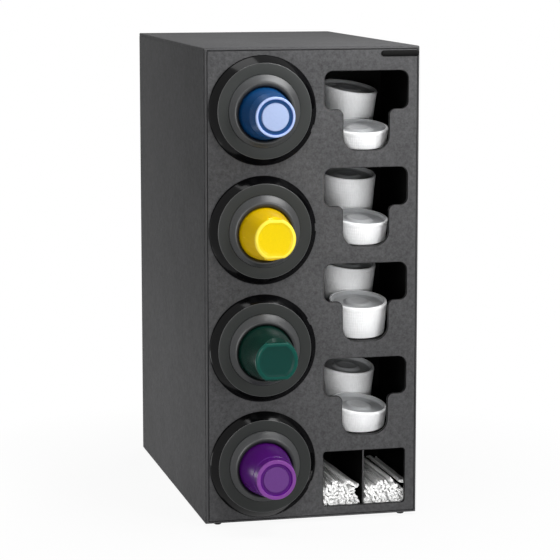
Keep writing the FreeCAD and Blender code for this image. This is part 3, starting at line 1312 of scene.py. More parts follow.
    def feet(self) -> Mould:
        """Four domed rubber bumpers, each in the middle of a CAD foot.

        Returns:
            The bumpers' mould.
        """
        low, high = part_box("rubber_feet")
        tall = high[2] - low[2]
        pad, wall = self.foot_radii
        corners = [(0, 0, 0), (pad, 0, 2.2 * MM), (wall, tall * 0.7, 2 * MM)]
        corners += [(wall, tall, 0), (0, tall, 0)]
        profile, _ = rounded(corners)
        mould = Mould("rubber_bumpers")
        for x in (low[0] + self.foot_inset, high[0] - self.foot_inset):
            for y in (low[1] + self.foot_inset, high[1] - self.foot_inset):
                mould.add([turned(profile, standing(x, y, low[2]), 40, closed=False)])
        return mould

    def build(self, look: Finishes) -> None:
        """Makes and places every sheet.

        Args:
            look: the materials.
        """
        # The face sheet's back and the inner walls take the near-black finish: painted shade.
        face, inner = [look.grained, look.cut_edge, look.inner], [look.inner, look.inner]
        settle(self.face_sheet().cast(face, 25.0), "root", "cabinet_sheet", *FACE)
        settle(self.edge_frame().cast([look.polished, look.polished], 25.0), "root", "cabinet_sheet")
        # The shell's inner faces take the near-black finish: painted shade.
        outside, inside = (0, 0, 1), (1, 0, 0)
        shell = [
            ("top_panel", Facing.UP, 1.6 * MM, "top_sheet", outside),
            ("left_side_panel", Facing.LEFT, 0.25 * MM, "left_sheet", outside),
            ("right_side_panel", Facing.LEFT, 0.25 * MM, "right_sheet", inside),
            ("bottom_panel", Facing.UP, 0.4 * MM, "floor_sheet", inside),
            ("rear_panel", Facing.FRONT, 0.4 * MM, "rear_sheet", inside),
        ]
        for node, facing, rim, name, finishes in shell:
            sheet = self.sheet(node, facing, rim, name, finishes).cast([look.grained, look.inner])
            settle(sheet, "root", "cabinet_sheet", node)
        walls = [
            ("partition_panel", Facing.LEFT, "partition_wall"),
            ("bay_back_panel", Facing.FRONT, "bay_back_wall"),
        ]
        for node, facing, name in walls:
            settle(self.sheet(node, facing, 0.4 * MM, name).cast(inner), "root", "inner_sheet", node)
        for shelf in map(Shelf, HEADS):
            settle(shelf.sheet().cast(inner), "root", "inner_sheet", shelf.node)
        divider = self.divider().cast([look.inner, look.divider])
        settle(divider, "root", "inner_sheet", "straw_divider")
        settle(self.feet().cast([look.foot]), "root", "foot_rubber", "rubber_feet")
        settle(self.badge().cast([look.badge, look.badge]), "root", "cabinet_sheet")


# The dispenser heads


def head_centre(number: int) -> tuple[float, float]:
    """The x and z of a tube's axis, the middle of its square flange."""
    low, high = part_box("tube_%d" % number)
    return (low[0] + high[0]) / 2, (low[2] + high[2]) / 2


class Base(Enum):
    """How a cup's closed end is shaped."""

    RINGED = "foot ring, groove and raised disc"
    FLATTED = "rounded edge with a flat and a finger recess above and below"


@dataclass
class CupStyle:
    """One head's cup.

    Attributes:
        name: its colour.
        base: the shape of its closed end.
        foot: the radius of that end.
        side: the wall's colour.
        ring: the foot ring's colour, or the end face's.
        groove: the groove's colour.
        disc: the disc's colour. On the blue, green and purple cups these three are lighter than
            the wall of the same plastic: painted light on the end that faces the lamps, and on the
            blue cup a painted reflection of the softbox. The yellow ring is a painted highlight
            along the end face's rounded rim.
        ring_width: how wide the foot ring is.
        disc_radius: of the raised disc.
        neck: how far the wall steps in behind the foot ring.
        ribs: where fine ribs run round the wall.
        flats: how far the upper and the lower flat of a flatted base lie from the axis.
        rough: the wall's roughness.
    """

    name: str
    base: Base
    foot: float
    side: tuple
    ring: tuple
    groove: tuple
    disc: tuple
    ring_width: float = 5.0 * MM
    disc_radius: float = 24.5 * MM
    neck: float = 0.0
    ribs: tuple = ()
    flats: tuple = (31.4 * MM, 31.4 * MM)
    rough: float = 0.3


# The end-face colours are lighter than the wall colours: painted light on the end that faces the lamps,
# with a painted softbox reflection on the blue cup.
CUPS = {
    1: CupStyle(
        "blue",
        Base.RINGED,
        33.8 * MM,
        side=linear(8, 58, 104),
        ring=linear(160, 177, 218),
        groove=linear(44, 78, 148),
        disc=linear(153, 168, 202),
        ring_width=4.6 * MM,
        disc_radius=22.6 * MM,
        ribs=(5 * MM, 9 * MM, 13 * MM, 18 * MM, 24 * MM, 31 * MM),
    ),
    2: CupStyle(
        "yellow",
        Base.FLATTED,
        35.0 * MM,
        side=linear(232, 190, 0),
        # Lighter than the rest of the yellow end: a painted highlight along the rounded rim.
        ring=linear(244, 220, 70),
        groove=linear(224, 194, 0),
        disc=linear(220, 190, 0),
        flats=(33.2 * MM, 31.6 * MM),
        rough=0.24,
    ),
    3: CupStyle(
        "green",
        Base.FLATTED,
        36.5 * MM,
        side=linear(12, 46, 38),
        ring=linear(0, 66, 57),
        groove=linear(0, 58, 51),
        disc=linear(0, 51, 45),
        rough=0.2,
    ),
    4: CupStyle(
        "purple",
        Base.RINGED,
        34.0 * MM,
        side=linear(74, 16, 104),
        ring=linear(118, 62, 138),
        groove=linear(84, 8, 122),
        disc=linear(95, 54, 120),
        ring_width=6.6 * MM,
        disc_radius=21.6 * MM,
        neck=1.9 * MM,
        rough=0.22,
    ),
}


# The corners of a necked wall: how far back, how much further back, the share of the neck's depth,
# and the rounding. Lengths are in millimetres, and the radius is the plain wall's at the first one.
NECK_ROWS = (
    (3.6, 0.0, 0.0, 0.9),
    (3.6, 1.4, 1.0, 0.8),
    (7.6, 0.0, 1.0, 0.5),
    (7.6, 1.0, 1 / 3, 0.6),
    (7.6, 2.2, 1.0, 0.5),
    (19.0, 0.0, 1.0, 0.8),
    (19.0, 1.6, 0.0, 0.9),
)
# How far each collar's notch is turned round the axis, in degrees.
NOTCH_TURN = {1: -20.0, 2: 2.0, 3: 28.0, 4: -25.0}


@dataclass
class Cup:
    """A thin tapered cup lying on its side, its closed end towards the user.

    Attributes:
        number: which head it belongs to.
        style: its look.
        wall: how thick it is.
        recess: how far back the upper and the lower flat run.
        recess_half: half the width of a flat's arched rear end.
        recess_step: how long the step behind that end is.
        rim: how far the rim stands out, and how long it is.
        rib: how high a fine rib is, and half its width.
        dish: the radius and depth of a flatted end's middle.
        disc_depth: how far a ringed end's disc lies behind its foot ring.
        groove_depth: how far its groove does.
        floor_depth: how far its inner floor does.
        sides: of the wall.
    """

    number: int
    style: CupStyle
    wall: float = 0.8 * MM
    recess: tuple = (12.0 * MM, 34.0 * MM)
    recess_half: float = 18.5 * MM
    recess_step: float = 1.6 * MM
    rim: tuple = (2.2 * MM, 4.0 * MM)
    rib: tuple = (0.8 * MM, 0.9 * MM)
    dish: tuple = (26.0 * MM, 1.0 * MM)
    disc_depth: float = 1.3 * MM
    groove_depth: float = 3.4 * MM
    floor_depth: float = 4.2 * MM
    sides: int = 240

    def __post_init__(self) -> None:
        """Reads the cup's place and size from the frame."""
        low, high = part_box("cup_%d" % self.number)
        self.x, self.z = (low[0] + high[0]) / 2, (low[2] + high[2]) / 2
        self.start, self.length = low[1], high[1] - low[1]
        self.mouth = (high[0] - low[0]) / 2 - self.rim[0]
        self.foot = self.style.foot
        self.flatted = self.style.base is Base.FLATTED
        self.slope = (self.mouth - self.foot) / self.length

    def cone(self, depth: float) -> float:
        """The wall's outer radius at a distance behind the closed end."""
        return self.foot + self.slope * depth

    def end_face(self) -> tuple[list, list]:
        """The closed end's corners from the axis outwards, and where its finish changes.

        Returns:
            The (radius, depth, rounding) corners, and the radii where the disc and the groove end.
        """
        if self.flatted:
            dish, depth = self.dish
            corners = [(0, depth, 0), (dish, depth, 5.0 * MM), (dish + 4.5 * MM, 0, 2.5 * MM)]
            return corners + [(self.foot, 0.2 * MM, 3.8 * MM)], [dish + 1.0 * MM, dish + 2.0 * MM]
        ring = self.foot - self.style.ring_width
        disc = self.style.disc_radius
        corners = [
            (0, self.disc_depth, 0),
            (disc, self.disc_depth, 0.7 * MM),
            (disc + 1.0 * MM, self.groove_depth, 0.7 * MM),
            (ring - 1.0 * MM, self.groove_depth, 0.8 * MM),
            (ring + 0.8 * MM, 0, 1.4 * MM),
            (self.foot, 0, 1.6 * MM),
        ]
        return corners, [disc + 0.2 * MM, ring - 0.2 * MM]

    def side(self) -> list:
        """The wall's outer corners from the closed end to the rim: a neck, ribs, or close rows.

        Returns:
            The (radius, depth, rounding) corners.
        """
        corners = []
        if self.style.neck:
            for at, further, share, rounding in NECK_ROWS:
                radius = self.cone(at * MM) - share * self.style.neck
                corners.append((radius, (at + further) * MM, rounding * MM))
        high, half = self.rib
        for at in self.style.ribs:
            corners += [(self.cone(at) - high, at - half, 0), (self.cone(at), at, 0.4 * MM)]
            corners.append((self.cone(at) - high, at + half, 0))
        if self.flatted:
            corners += [(self.cone(row), row, 0) for row in np.arange(4.0, 37.0, 0.75) * MM]
        return corners

    def lip(self) -> list:
        """The corners of the rolled rim, from the wall's outside to the mouth's inner edge.

        Returns:
            The (radius, depth, rounding) corners.
        """
        out, deep = self.rim
        neck = self.length - deep
        return [
            (self.cone(neck) - 0.2 * MM, neck - 1 * MM, 0.6 * MM),
            (self.mouth + out, neck + 1.4 * MM, 0.8 * MM),
            (self.mouth + out, self.length, 0.7 * MM),
            (self.mouth - self.wall, self.length, 0.4 * MM),
        ]

    def outline(self) -> tuple[np.ndarray, np.ndarray]:
        """The cup's whole section, from the outer middle round the rim to the inner middle.

        Returns:
            The points, and the finish of each row of faces: 0 wall, 1 ring, 2 groove, 3 disc.
        """
        face, (first, second) = self.end_face()
        floor = self.dish[1] + self.wall + 0.2 * MM if self.flatted else self.floor_depth
        inside = [(self.cone(floor) - self.wall - 0.4 * MM, floor, 1.2 * MM), (0, floor, 0)]
        if self.flatted:
            rows = np.arange(36.6, 4.0, -0.75) * MM
            inside = [(self.cone(row) - self.wall, row, 0) for row in rows] + inside
        points, _ = rounded(face + self.side() + self.lip() + inside, turn=15.0)
        bend = 3
        on_face = np.arange(len(points)) <= np.argmax(points[:, 0] > self.foot - 0.3 * MM) + bend
        marks = np.where(points[:, 0] < first, 3, np.where(points[:, 0] < second, 2, 1))
        outer_end = on_face & (points[:, 1] < 3.2 * MM)
        return points, np.where(outer_end, marks, 0)[:-1]

    def flats(self, radius: np.ndarray, depth: np.ndarray, angle: np.ndarray) -> np.ndarray:
        """Draws the wall in to two flats whose rear ends are arched steps.

        The flat lies at a fixed height, and past an arch over its width that height grows until the
        round wall takes over. Every radius is scaled by height / (wall radius times |sin t|).

        Args:
            radius: of each point.
            depth: of each point behind the closed end.
            angle: of each point round the axis.

        Returns:
            The radii anew.
        """
        wall = self.cone(depth)
        side = np.clip(np.abs(np.cos(angle)) * wall / self.recess_half, 0, 1)
        end = np.where(np.sin(angle) > 0, *self.recess) * np.sqrt(1 - side**2)
        step = np.clip((depth - end) / self.recess_step, 0, 1)
        flat = np.where(np.sin(angle) > 0, *self.style.flats)
        height = flat + (wall * 1.02 - flat) * (step * step * (3 - 2 * step))
        share = height / np.maximum(wall * np.abs(np.sin(angle)), 1e-6)
        return radius * np.minimum(share, 1)

    def add_to(self, mould: Mould, back: float = 0.0) -> Mould:
        """Adds the cup to a mould.

        Args:
            mould: the piece it is part of.
            back: how far behind the front cup's place it lies.

        Returns:
            The mould.
        """
        points, marks = self.outline()
        reshape = self.flats if self.flatted else None
        place = lying(self.x, self.start + back, self.z)
        return mould.add([turned(points, place, self.sides, reshape=reshape, closed=False, finish=marks)])

    def materials(self) -> list[bpy.types.Material]:
        """Makes the cup's plastics.

        Returns:
            The wall's, the ring's, the groove's and the disc's.
        """
        style = self.style
        colours = {"wall": style.side, "ring": style.ring, "groove": style.groove, "disc": style.disc}
        return [
            CupPlastic("cup_%s_%s" % (style.name, part), colour, style.rough).material()
            for part, colour in colours.items()
        ]


@dataclass
class Head:
    """One dispenser: tube, collar, diaphragm, cups, follower and spring on one axis.

    Depths are measured back from the face sheet's front.

    Attributes:
        number: which head.
        collar_radius: of the collar's foot.
        face_radius: of its face.
        lip_radius: of its inner lip's bore.
        bore_radius: of its bore behind the lip.
        collar_height: how far it stands out.
        collar_gap: between it and the face sheet.
        lip_back: how far its lip's back stands out.
        shoulder: how far in and how far up its sloping side's foot lies.
        skirt: how tall the plumb edge under that is.
        worn: how wide the light line painted on its face's edge as a highlight is, on either side of the
            edge.
        notch: the width and depth of the notch in its edge.
        ears: how many lock blocks the tube and the collar have.
        ear_span: the angle of a block.
        ear_height: its length along the axis.
        ear_gap: the play between the blocks.
        tube_radius: the tube's outer radius.
        tube_bore: its inner radius.
        mouth: how far it stands out.
        flange: half the width of its square flange, and how thick that is.
        face_thickness: how far behind the face sheet's front the flange lies.
        bead_radius: of the diaphragm's bead.
        bead_height: how tall the bead is.
        diaphragm_reach: how far the diaphragm's crown stands out.
        diaphragm_lip: how far its lip does.
        grip_depth: how far the ring does that grips the cup.
        diaphragm_wall: how thick it is.
        dark_width: how wide its darker zone round the cup is, painted as shade.
        rim_pitch: from one nested cup to the next.
        nested: how many cups are nested.
        wall_shown: how much of each nested cup's wall is made.
        follower_wall: how thick the follower is.
        wire: the spring's wire.
        coil_radius: the spring's middle radius.
        coils: how many turns it has.
        end_pitch: the pitch of its close end turns.
        cup: the front cup.
    """

    number: int
    collar_radius: float = 93.5 * MM
    face_radius: float = 81.0 * MM
    lip_radius: float = 62.0 * MM
    bore_radius: float = 66.0 * MM
    collar_height: float = 18.0 * MM
    collar_gap: float = 0.4 * MM
    lip_back: float = 15.35 * MM
    shoulder: tuple = (1.2 * MM, 4.6 * MM)
    skirt: float = 2.2 * MM
    # How wide the painted highlight band on the collar face's edge is, on either side of the edge.
    worn: float = 0.9 * MM
    notch: tuple = (12.5 * MM, 2.6 * MM)
    ears: int = 3
    ear_span: float = math.radians(30)
    ear_height: float = 3.0 * MM
    ear_gap: float = 0.5 * MM
    tube_radius: float = 58.7 * MM
    tube_bore: float = 56.2 * MM
    mouth: float = 11.0 * MM
    flange: tuple = (75.0 * MM, 4.0 * MM)
    face_thickness: float = 6.0 * MM
    bead_radius: float = 64.4 * MM
    bead_height: float = 4.0 * MM
    diaphragm_reach: float = 26.0 * MM
    diaphragm_lip: float = 16.0 * MM
    grip_depth: float = 20.5 * MM
    diaphragm_wall: float = 2.2 * MM
    # How wide the darker rubber painted as shade round the cup is.
    dark_width: float = 7.0 * MM
    rim_pitch: float = 12.0 * MM
    nested: int = 12
    wall_shown: float = 9.0 * MM
    follower_wall: float = 3.0 * MM
    wire: float = 2.4 * MM
    coil_radius: float = 42.0 * MM
    coils: int = 8
    end_pitch: float = 3.6 * MM
    cup: Cup = field(init=False)

    def __post_init__(self) -> None:
        """Finds the head's axis."""
        self.x, self.z = head_centre(self.number)
        self.axis = lying(self.x, FRONT, self.z)
        self.cup = Cup(self.number, CUPS[self.number])
        self.turn = math.radians(NOTCH_TURN[self.number])

    def locks(self, mould: Mould, inner: float, outer: float, near: float) -> None:
        """Adds the lock blocks that lie evenly round the axis.

        Args:
            mould: the piece they are part of.
            inner: their inner radius.
            outer: their outer radius.
            near: the depth of their fronts.
        """
        for i in range(self.ears):
            centre = self.turn + 2 * math.pi * i / self.ears
            far = near + self.ear_height
            mould.add(arc_block(inner, outer, near, far, self.axis, centre, self.ear_span))

    def collar(self) -> Mould:
        """The twist-lock collar: a turned section, its edge drawn in at the notch, and three lugs.

        Returns:
            The collar's mould.
        """
        tall, gap = -self.collar_height, -self.collar_gap
        inset, rise = self.shoulder
        corners = [
            (self.bore_radius, gap, 0.3 * MM),
            (self.bore_radius, -self.lip_back, 0.2 * MM),
            (self.lip_radius, -self.lip_back, 0.3 * MM),
            (self.lip_radius, tall, 0.9 * MM),
            (self.face_radius, tall, 1.0 * MM),
            (self.collar_radius - inset, gap - rise, 3.0 * MM),
            (self.collar_radius, gap - self.skirt, 0.8 * MM),
            (self.collar_radius, gap, 0.4 * MM),
        ]
        section, _ = rounded(corners, closed=True, turn=12.0)
        # Rows on the face take the lighter satin grey, which paints sheen on it.
        on_face = (section[:, 1] < tall + 0.5 * MM) & (section[:, 0] < self.face_radius)
        wide, deep = self.notch
        half = math.asin(wide / 2 / self.collar_radius)
        ramp = 0.004
        edges = self.turn + np.array([-half - ramp, -half, half, half + ramp])
        even = np.linspace(0, 2 * math.pi, 216, endpoint=False)
        angles = np.unique(np.concatenate([even, np.mod(edges, 2 * math.pi)]))

        def notched(radius: np.ndarray, depth: np.ndarray, angle: np.ndarray) -> np.ndarray:
            """Keeps the radius under the notch's floor within the notch's width."""
            off = np.abs(np.angle(np.exp(1j * (angle - self.turn))))
            return np.where(off <= half + 1e-5, np.minimum(radius, self.collar_radius - deep), radius)

        mould = Mould("twist_collar_%d" % self.number)
        # Rows round the face's edge take the lighter finish: a painted highlight along the rounded edge.
        highlight_rows = np.abs(section[:, 0] - self.face_radius) < self.worn
        highlight_rows &= section[:, 1] < 0.9 * tall
        marks = np.where(highlight_rows & np.roll(highlight_rows, -1), 2, on_face.astype(int))
        mould.add([turned(section, self.axis, angles=angles, reshape=notched, finish=marks)])
        near = self.ear_height + self.ear_gap - self.mouth
        self.locks(mould, self.tube_radius + self.ear_gap, self.bore_radius + 0.8 * MM, near)
        return mould

    def touch(self, reach: float) -> float:
        """The cup's radius so far in front of the face sheet."""
        return self.cup.cone(FRONT - reach - self.cup.start)

    def diaphragm(self) -> Mould:
        """The rubber skirt: from the bead on the tube's mouth over a rolled crown to the cup.

        Its section is a rounded line with a wall laid off it, and its rows move down with the cup
        from the fixed bead to the lip. The line's first points lie in the bead, with no wall there.

        Returns:
            The diaphragm's mould.
        """
        wall = self.diaphragm_wall
        gap = 0.35 * MM
        lip = self.touch(self.diaphragm_lip) + gap
        grip = self.touch(self.grip_depth) + gap
        root = self.lip_radius - 0.2 * MM
        bead_front = -self.mouth - self.bead_height
        low, top = -self.collar_height, -self.diaphragm_reach
        crown, way = rounded(
            [
                (root, low + 2.4 * MM, 0),
                (root, low - 0.5 * MM, 0.7 * MM),
                (root - 1.8 * MM, low - 1.5 * MM, 1.2 * MM),
                (root - 9.6 * MM, top + 0.2 * MM, 5.0 * MM),
                (grip + 1.0 * MM, top + 1.6 * MM, 4.0 * MM),
                (grip, -self.grip_depth + 3.0 * MM, 0),
            ],
            turn=8.0,
        )
        inward = np.stack([way[:, 1], -way[:, 0]], axis=-1)
        first_free = 6
        under = (crown + inward * wall)[first_free:-1][::-1]
        bead, _ = rounded(
            [
                (root - 3.4 * MM, -self.mouth, 0),
                (self.bead_radius, -self.mouth, 0.4 * MM),
                (self.bead_radius, bead_front + 0.1 * MM, 0.8 * MM),
                (root - 0.1 * MM, bead_front + 0.1 * MM, 0),
            ]
        )
        tail = np.array([(lip, -self.diaphragm_lip), (lip + wall, -self.diaphragm_lip)])
        section = np.vstack([bead, crown, tail, under])
        drop = self.z - self.cup.z
        share = np.clip((root - 2 * MM - section[:, 0]) / (root - 2 * MM - lip - wall), 0, 1)
        # Rows within this width of the cup take the darker rubber: painted shade in the gap round the
        # cup.
        painted_shade_rows = (section[:, 0] < grip + self.dark_width).astype(int)
        sheet = turned(section, self.axis, 168, drop=share * drop, finish=painted_shade_rows)
        return Mould("rubber_diaphragm_%d" % self.number).add([sheet])

    def tube(self) -> Mould:
        """The tube with its closed end, lock ears and square flange.

        Returns:
            The tube's mould.
        """
        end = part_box("tube_%d" % self.number)[1][1] - FRONT
        wall = self.tube_radius - self.tube_bore
        corners = [
            (0, end, 0),
            (self.tube_radius, end, 2.0 * MM),
            (self.tube_radius, -self.mouth, 0.5 * MM),
            (self.tube_bore, -self.mouth, 0.5 * MM),
            (self.tube_bore, end - wall, 1.0 * MM),
            (0, end - wall, 0),
        ]
        section, _ = rounded(corners)
        mould = Mould("cup_tube_%d" % self.number).add([turned(section, self.axis, 120, closed=False)])
        self.locks(mould, self.tube_radius - 0.5 * MM, self.bore_radius - self.ear_gap, -self.mouth)
        half, thick = self.flange
        hole = circle(self.x, self.z, (self.tube_bore + self.tube_radius) / 2)
        square = oblong(self.x - half, self.x + half, self.z - half, self.z + half, 4 * MM)
        flange = Plate(square, thick, [hole], rim=0.3 * MM, turn=9.0)
        return flange.build(mould, lying(0, FRONT + self.face_thickness, 0))

    def stack(self) -> Mould:
        """The nested cups: the second one whole, then the rims and upper walls of the others.

        Returns:
            The cups' mould.
        """
        cup = self.cup
        mould = cup.add_to(Mould("nested_cups_%d" % self.number), self.rim_pitch)
        foot = cup.length - cup.rim[1] - self.wall_shown
        outer = cup.cone(foot) - 0.3 * MM
        corners = [(outer, foot, 0), *cup.lip(), (outer - cup.wall, foot, 0)]
        section, _ = rounded(corners, closed=True, turn=20.0)
        for k in range(2, self.nested + 1):
            place = lying(cup.x, cup.start + self.rim_pitch * k, cup.z)
            mould.add([turned(section, place, 120)])
        return mould

    def follower(self) -> Mould:
        """The follower: a disc with a guiding skirt, open to the rear, where it seats the spring.

        Returns:
            The follower's mould.
        """
        low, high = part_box("pusher_%d" % self.number)
        near, far = low[1] - FRONT, high[1] - FRONT
        radius, wall = (high[0] - low[0]) / 2, self.follower_wall
        corners = [
            (0, near, 0),
            (radius, near, 1.0 * MM),
            (radius, far, 0.6 * MM),
            (radius - wall, far, 0.6 * MM),
            (radius - wall, near + wall, 1.0 * MM),
            (0, near + wall, 0),
        ]
        section, _ = rounded(corners)
        sheet = turned(section, self.axis, 96, closed=False)
        return Mould("follower_%d" % self.number).add([sheet])

    def spring(self) -> Mould:
        """The wire: a circle carried along a helix with close end turns.

        A point at turn t lies at (R cos, rise(t), R sin); the circle is laid off along the outward
        direction and the direction square to it and to the wire.

        Returns:
            The spring's mould.
        """
        low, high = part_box("spring_%d" % self.number)
        length = high[1] - low[1] - self.wire
        steps, sides = 44, 10
        turns = np.linspace(0, self.coils, self.coils * steps + 1)
        knots = np.array([0, 1, self.coils - 1, self.coils], float)
        rise = np.interp(turns, knots, [0, self.end_pitch, length - self.end_pitch, length])
        angle = 2 * math.pi * turns
        out = np.stack([np.cos(angle), np.zeros_like(angle), np.sin(angle)], axis=-1)
        round_way = np.stack([-np.sin(angle), np.zeros_like(angle), np.cos(angle)], axis=-1)
        along = round_way * self.coil_radius
        along[:, 1] = np.gradient(rise, angle)
        along /= np.linalg.norm(along, axis=1, keepdims=True)
        side = np.cross(along, out)
        path = out * self.coil_radius + np.array([self.x, low[1] + self.wire / 2, self.z])
        path[:, 1] += rise
        ring = np.linspace(0, 2 * math.pi, sides, endpoint=False)[None, :, None]
        off = out[:, None] * np.cos(ring) + side[:, None] * np.sin(ring)
        tube = path[:, None] + off * (self.wire / 2)
        ends = np.repeat(path[[0, -1], None], sides, axis=1)
        skin = np.vstack([ends[:1], tube, ends[1:]])
        return Mould("feed_spring_%d" % self.number).add([Sheet(skin, wrap_columns=True)])

    def build(self, look: Finishes) -> None:
        """Makes and places the head's pieces.

        Args:
            look: the materials.
        """
        n = self.number
        cup_slot = "cup_" + self.cup.style.name
        plastics = self.cup.materials()
        collar = self.collar().cast([look.collar_side, look.collar_face, look.collar_edge])
        settle(collar, "collar_%d" % n, "collar_plastic", "collar_%d" % n)
        diaphragm = self.diaphragm().cast([look.rubber, look.rubber_lip], 60.0)
        settle(diaphragm, "root", "diaphragm_rubber", "diaphragm_%d" % n)
        settle(self.tube().cast([look.tube, look.tube]), "root", "tube_plastic", "tube_%d" % n)
        front = self.cup.add_to(Mould("front_cup_%d" % n)).cast(plastics, 38.0)
        settle(front, "cup_%d" % n, cup_slot, "cup_%d" % n)
        settle(self.stack().cast(plastics, 38.0), "feed_%d" % n, cup_slot, "cup_stack_%d" % n)
        settle(self.follower().cast([look.pusher]), "feed_%d" % n, "pusher_plastic", "pusher_%d" % n)
        spring = settle(self.spring().cast([look.wire]), "root", "spring_steel", "spring_%d" % n)
        low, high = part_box("spring_%d" % n)
        travel = next(j for j in frame["joints"] if j["name"] == "feed_%d" % n)["range_m"][1]
        keep = 1 - travel / (high[1] - low[1])
        "feed_%d" % n
        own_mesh(spring)


# What the bays hold


@dataclass
class LidPile:
    """Nested lids: a dished top lid over a fluted wall with a fine line at each lid's edge.

    Attributes:
        name: the piece's name.
        place: how it stands.
        height: of the pile.
        radius: of the top lid.
        dish: the radius inside which the top lid is dished.
        taper: how much narrower the pile's foot is.
        first: from the top lid's top to its edge.
        pitch: from one lid's edge to the next.
        flutes: how many run round the wall.
        flute: how deep they are.
    """

    name: str
    place: Place
    height: float
    radius: float = 51.4 * MM
    dish: float = 46.8 * MM
    taper: float = 2.0 * MM
    first: float = 5.0 * MM
    pitch: float = 5.2 * MM
    flutes: int = 84
    flute: float = 0.28 * MM

    def wall_radius(self, below: float) -> float:
        """The wall's radius at a distance under the top."""
        return self.radius - self.taper * below / self.height

    def section(self) -> tuple[np.ndarray, np.ndarray]:
        """The pile's section from the middle of the dish to the middle of the foot.

        Returns:
            The points, and the finish of each row: 0 wall, 1 dish, which is painted darker as shade.
        """
        rim = self.radius
        dish = [
            (0, -3.6 * MM, 0),
            (12 * MM, -3.2 * MM, 4 * MM),
            (17 * MM, -2.2 * MM, 2 * MM),
            (21 * MM, -2.6 * MM, 2 * MM),
            (26 * MM, -5.6 * MM, 4 * MM),
            (43.0 * MM, -5.8 * MM, 3 * MM),
            (46.6 * MM, -0.5 * MM, 2.0 * MM),
            (rim - 1.2 * MM, 0, 1.2 * MM),
        ]
        wall = [(rim, -2.2 * MM, 1.2 * MM), (rim, -4.6 * MM, 0.2 * MM)]
        lines = max(1, round((self.height - 6 * MM) / self.pitch))
        edges = np.linspace(self.first, self.height, lines + 1)
        for i, edge in enumerate(edges[:-1]):
            cut = 0.5 * MM if i == 0 else 0.12 * MM
            here = self.wall_radius(edge)
            wall += [(here - cut, -edge, 0.1 * MM), (here, -edge - 0.5 * MM, 0.15 * MM)]
            wall += [(self.wall_radius(edges[i + 1]) - 0.02 * MM, -edges[i + 1] + 0.25 * MM, 0)]
        foot = [(self.wall_radius(self.height) - 1 * MM, -self.height, 0), (0, -self.height, 0)]
        points, _ = rounded(dish + wall + foot, turn=14.0)
        points[:, 1] += self.height
        # The dish rows take the darker grey: painted shade on the top lid.
        inner = np.arange(len(points)) < np.argmax(points[:, 0] > self.dish)
        return points, inner.astype(int)[:-1]

    def fluted(self, radius: np.ndarray, depth: np.ndarray, angle: np.ndarray) -> np.ndarray:
        """Draws the wall in by a cosine round the pile, from under the rim to the foot.

        Args:
            radius: of each point.
            depth: of each point, its height over the pile's foot.
            angle: of each point round the axis.

        Returns:
            The radii anew.
        """
        on_wall = np.clip((radius - self.dish) / (0.5 * MM), 0, 1)
        under = np.clip((self.height - self.first - depth) / (1.0 * MM), 0, 1)
        return radius - self.flute * (0.5 - 0.5 * np.cos(self.flutes * angle)) * on_wall * under

    def build(self, look: Finishes, node: str) -> None:
        """Makes the pile.

        Args:
            look: the materials.
            node: the CAD node that it is part of.
        """
        points, marks = self.section()
        sides = self.flutes * 5
        sheet = turned(points, self.place, sides, reshape=self.fluted, closed=False, finish=marks)
        piece = Mould(self.name).add([sheet]).cast([look.lid_wall, look.lid_dish], 40.0)
        settle(piece, "root", "lid_plastic", node)


@dataclass
class Lids:
    """The two piles in each bay.

    Attributes:
        front: (height, lean to the right in degrees) of each front pile, from the top bay down.
        rear: the same of each rear pile.
        from_left: where the front and the rear row lie.
        radius: the room that a pile takes, from its middle.
        face_gap: from the face sheet to a front pile's leaning top edge.
        row_gap: between the rows.
    """

    front: tuple = ((30.0, 0.0), (38.0, 3.0), (56.0, 0.0), (37.0, 5.0))
    rear: tuple = ((75.0, 7.0), (88.0, 2.5), (93.0, 4.5), (71.0, 4.0))
    from_left: tuple = (285.5 * MM, 289.0 * MM)
    radius: float = 51.5 * MM
    face_gap: float = 2.5 * MM
    row_gap: float = 2.0 * MM

    def build(self, look: Finishes) -> None:
        """Makes the piles, each square on its bay's shelf.

        Args:
            look: the materials.
        """
        for n, front, rear in zip(HEADS, self.front, self.rear):
            shelf = Shelf(n)
            along = self.radius + self.face_gap + front[0] * MM * math.tan(shelf.tilt)
            rows = [("front", front, along), ("rear", rear, along + 2 * self.radius + self.row_gap)]
            for (row, (height, lean), distance), x in zip(rows, self.from_left):
                place = shelf.pile(LEFT + x, distance, height * MM, math.radians(lean))
                LidPile("lid_pile_%s_%d" % (row, n), place, height * MM).build(look, row + "_lids")


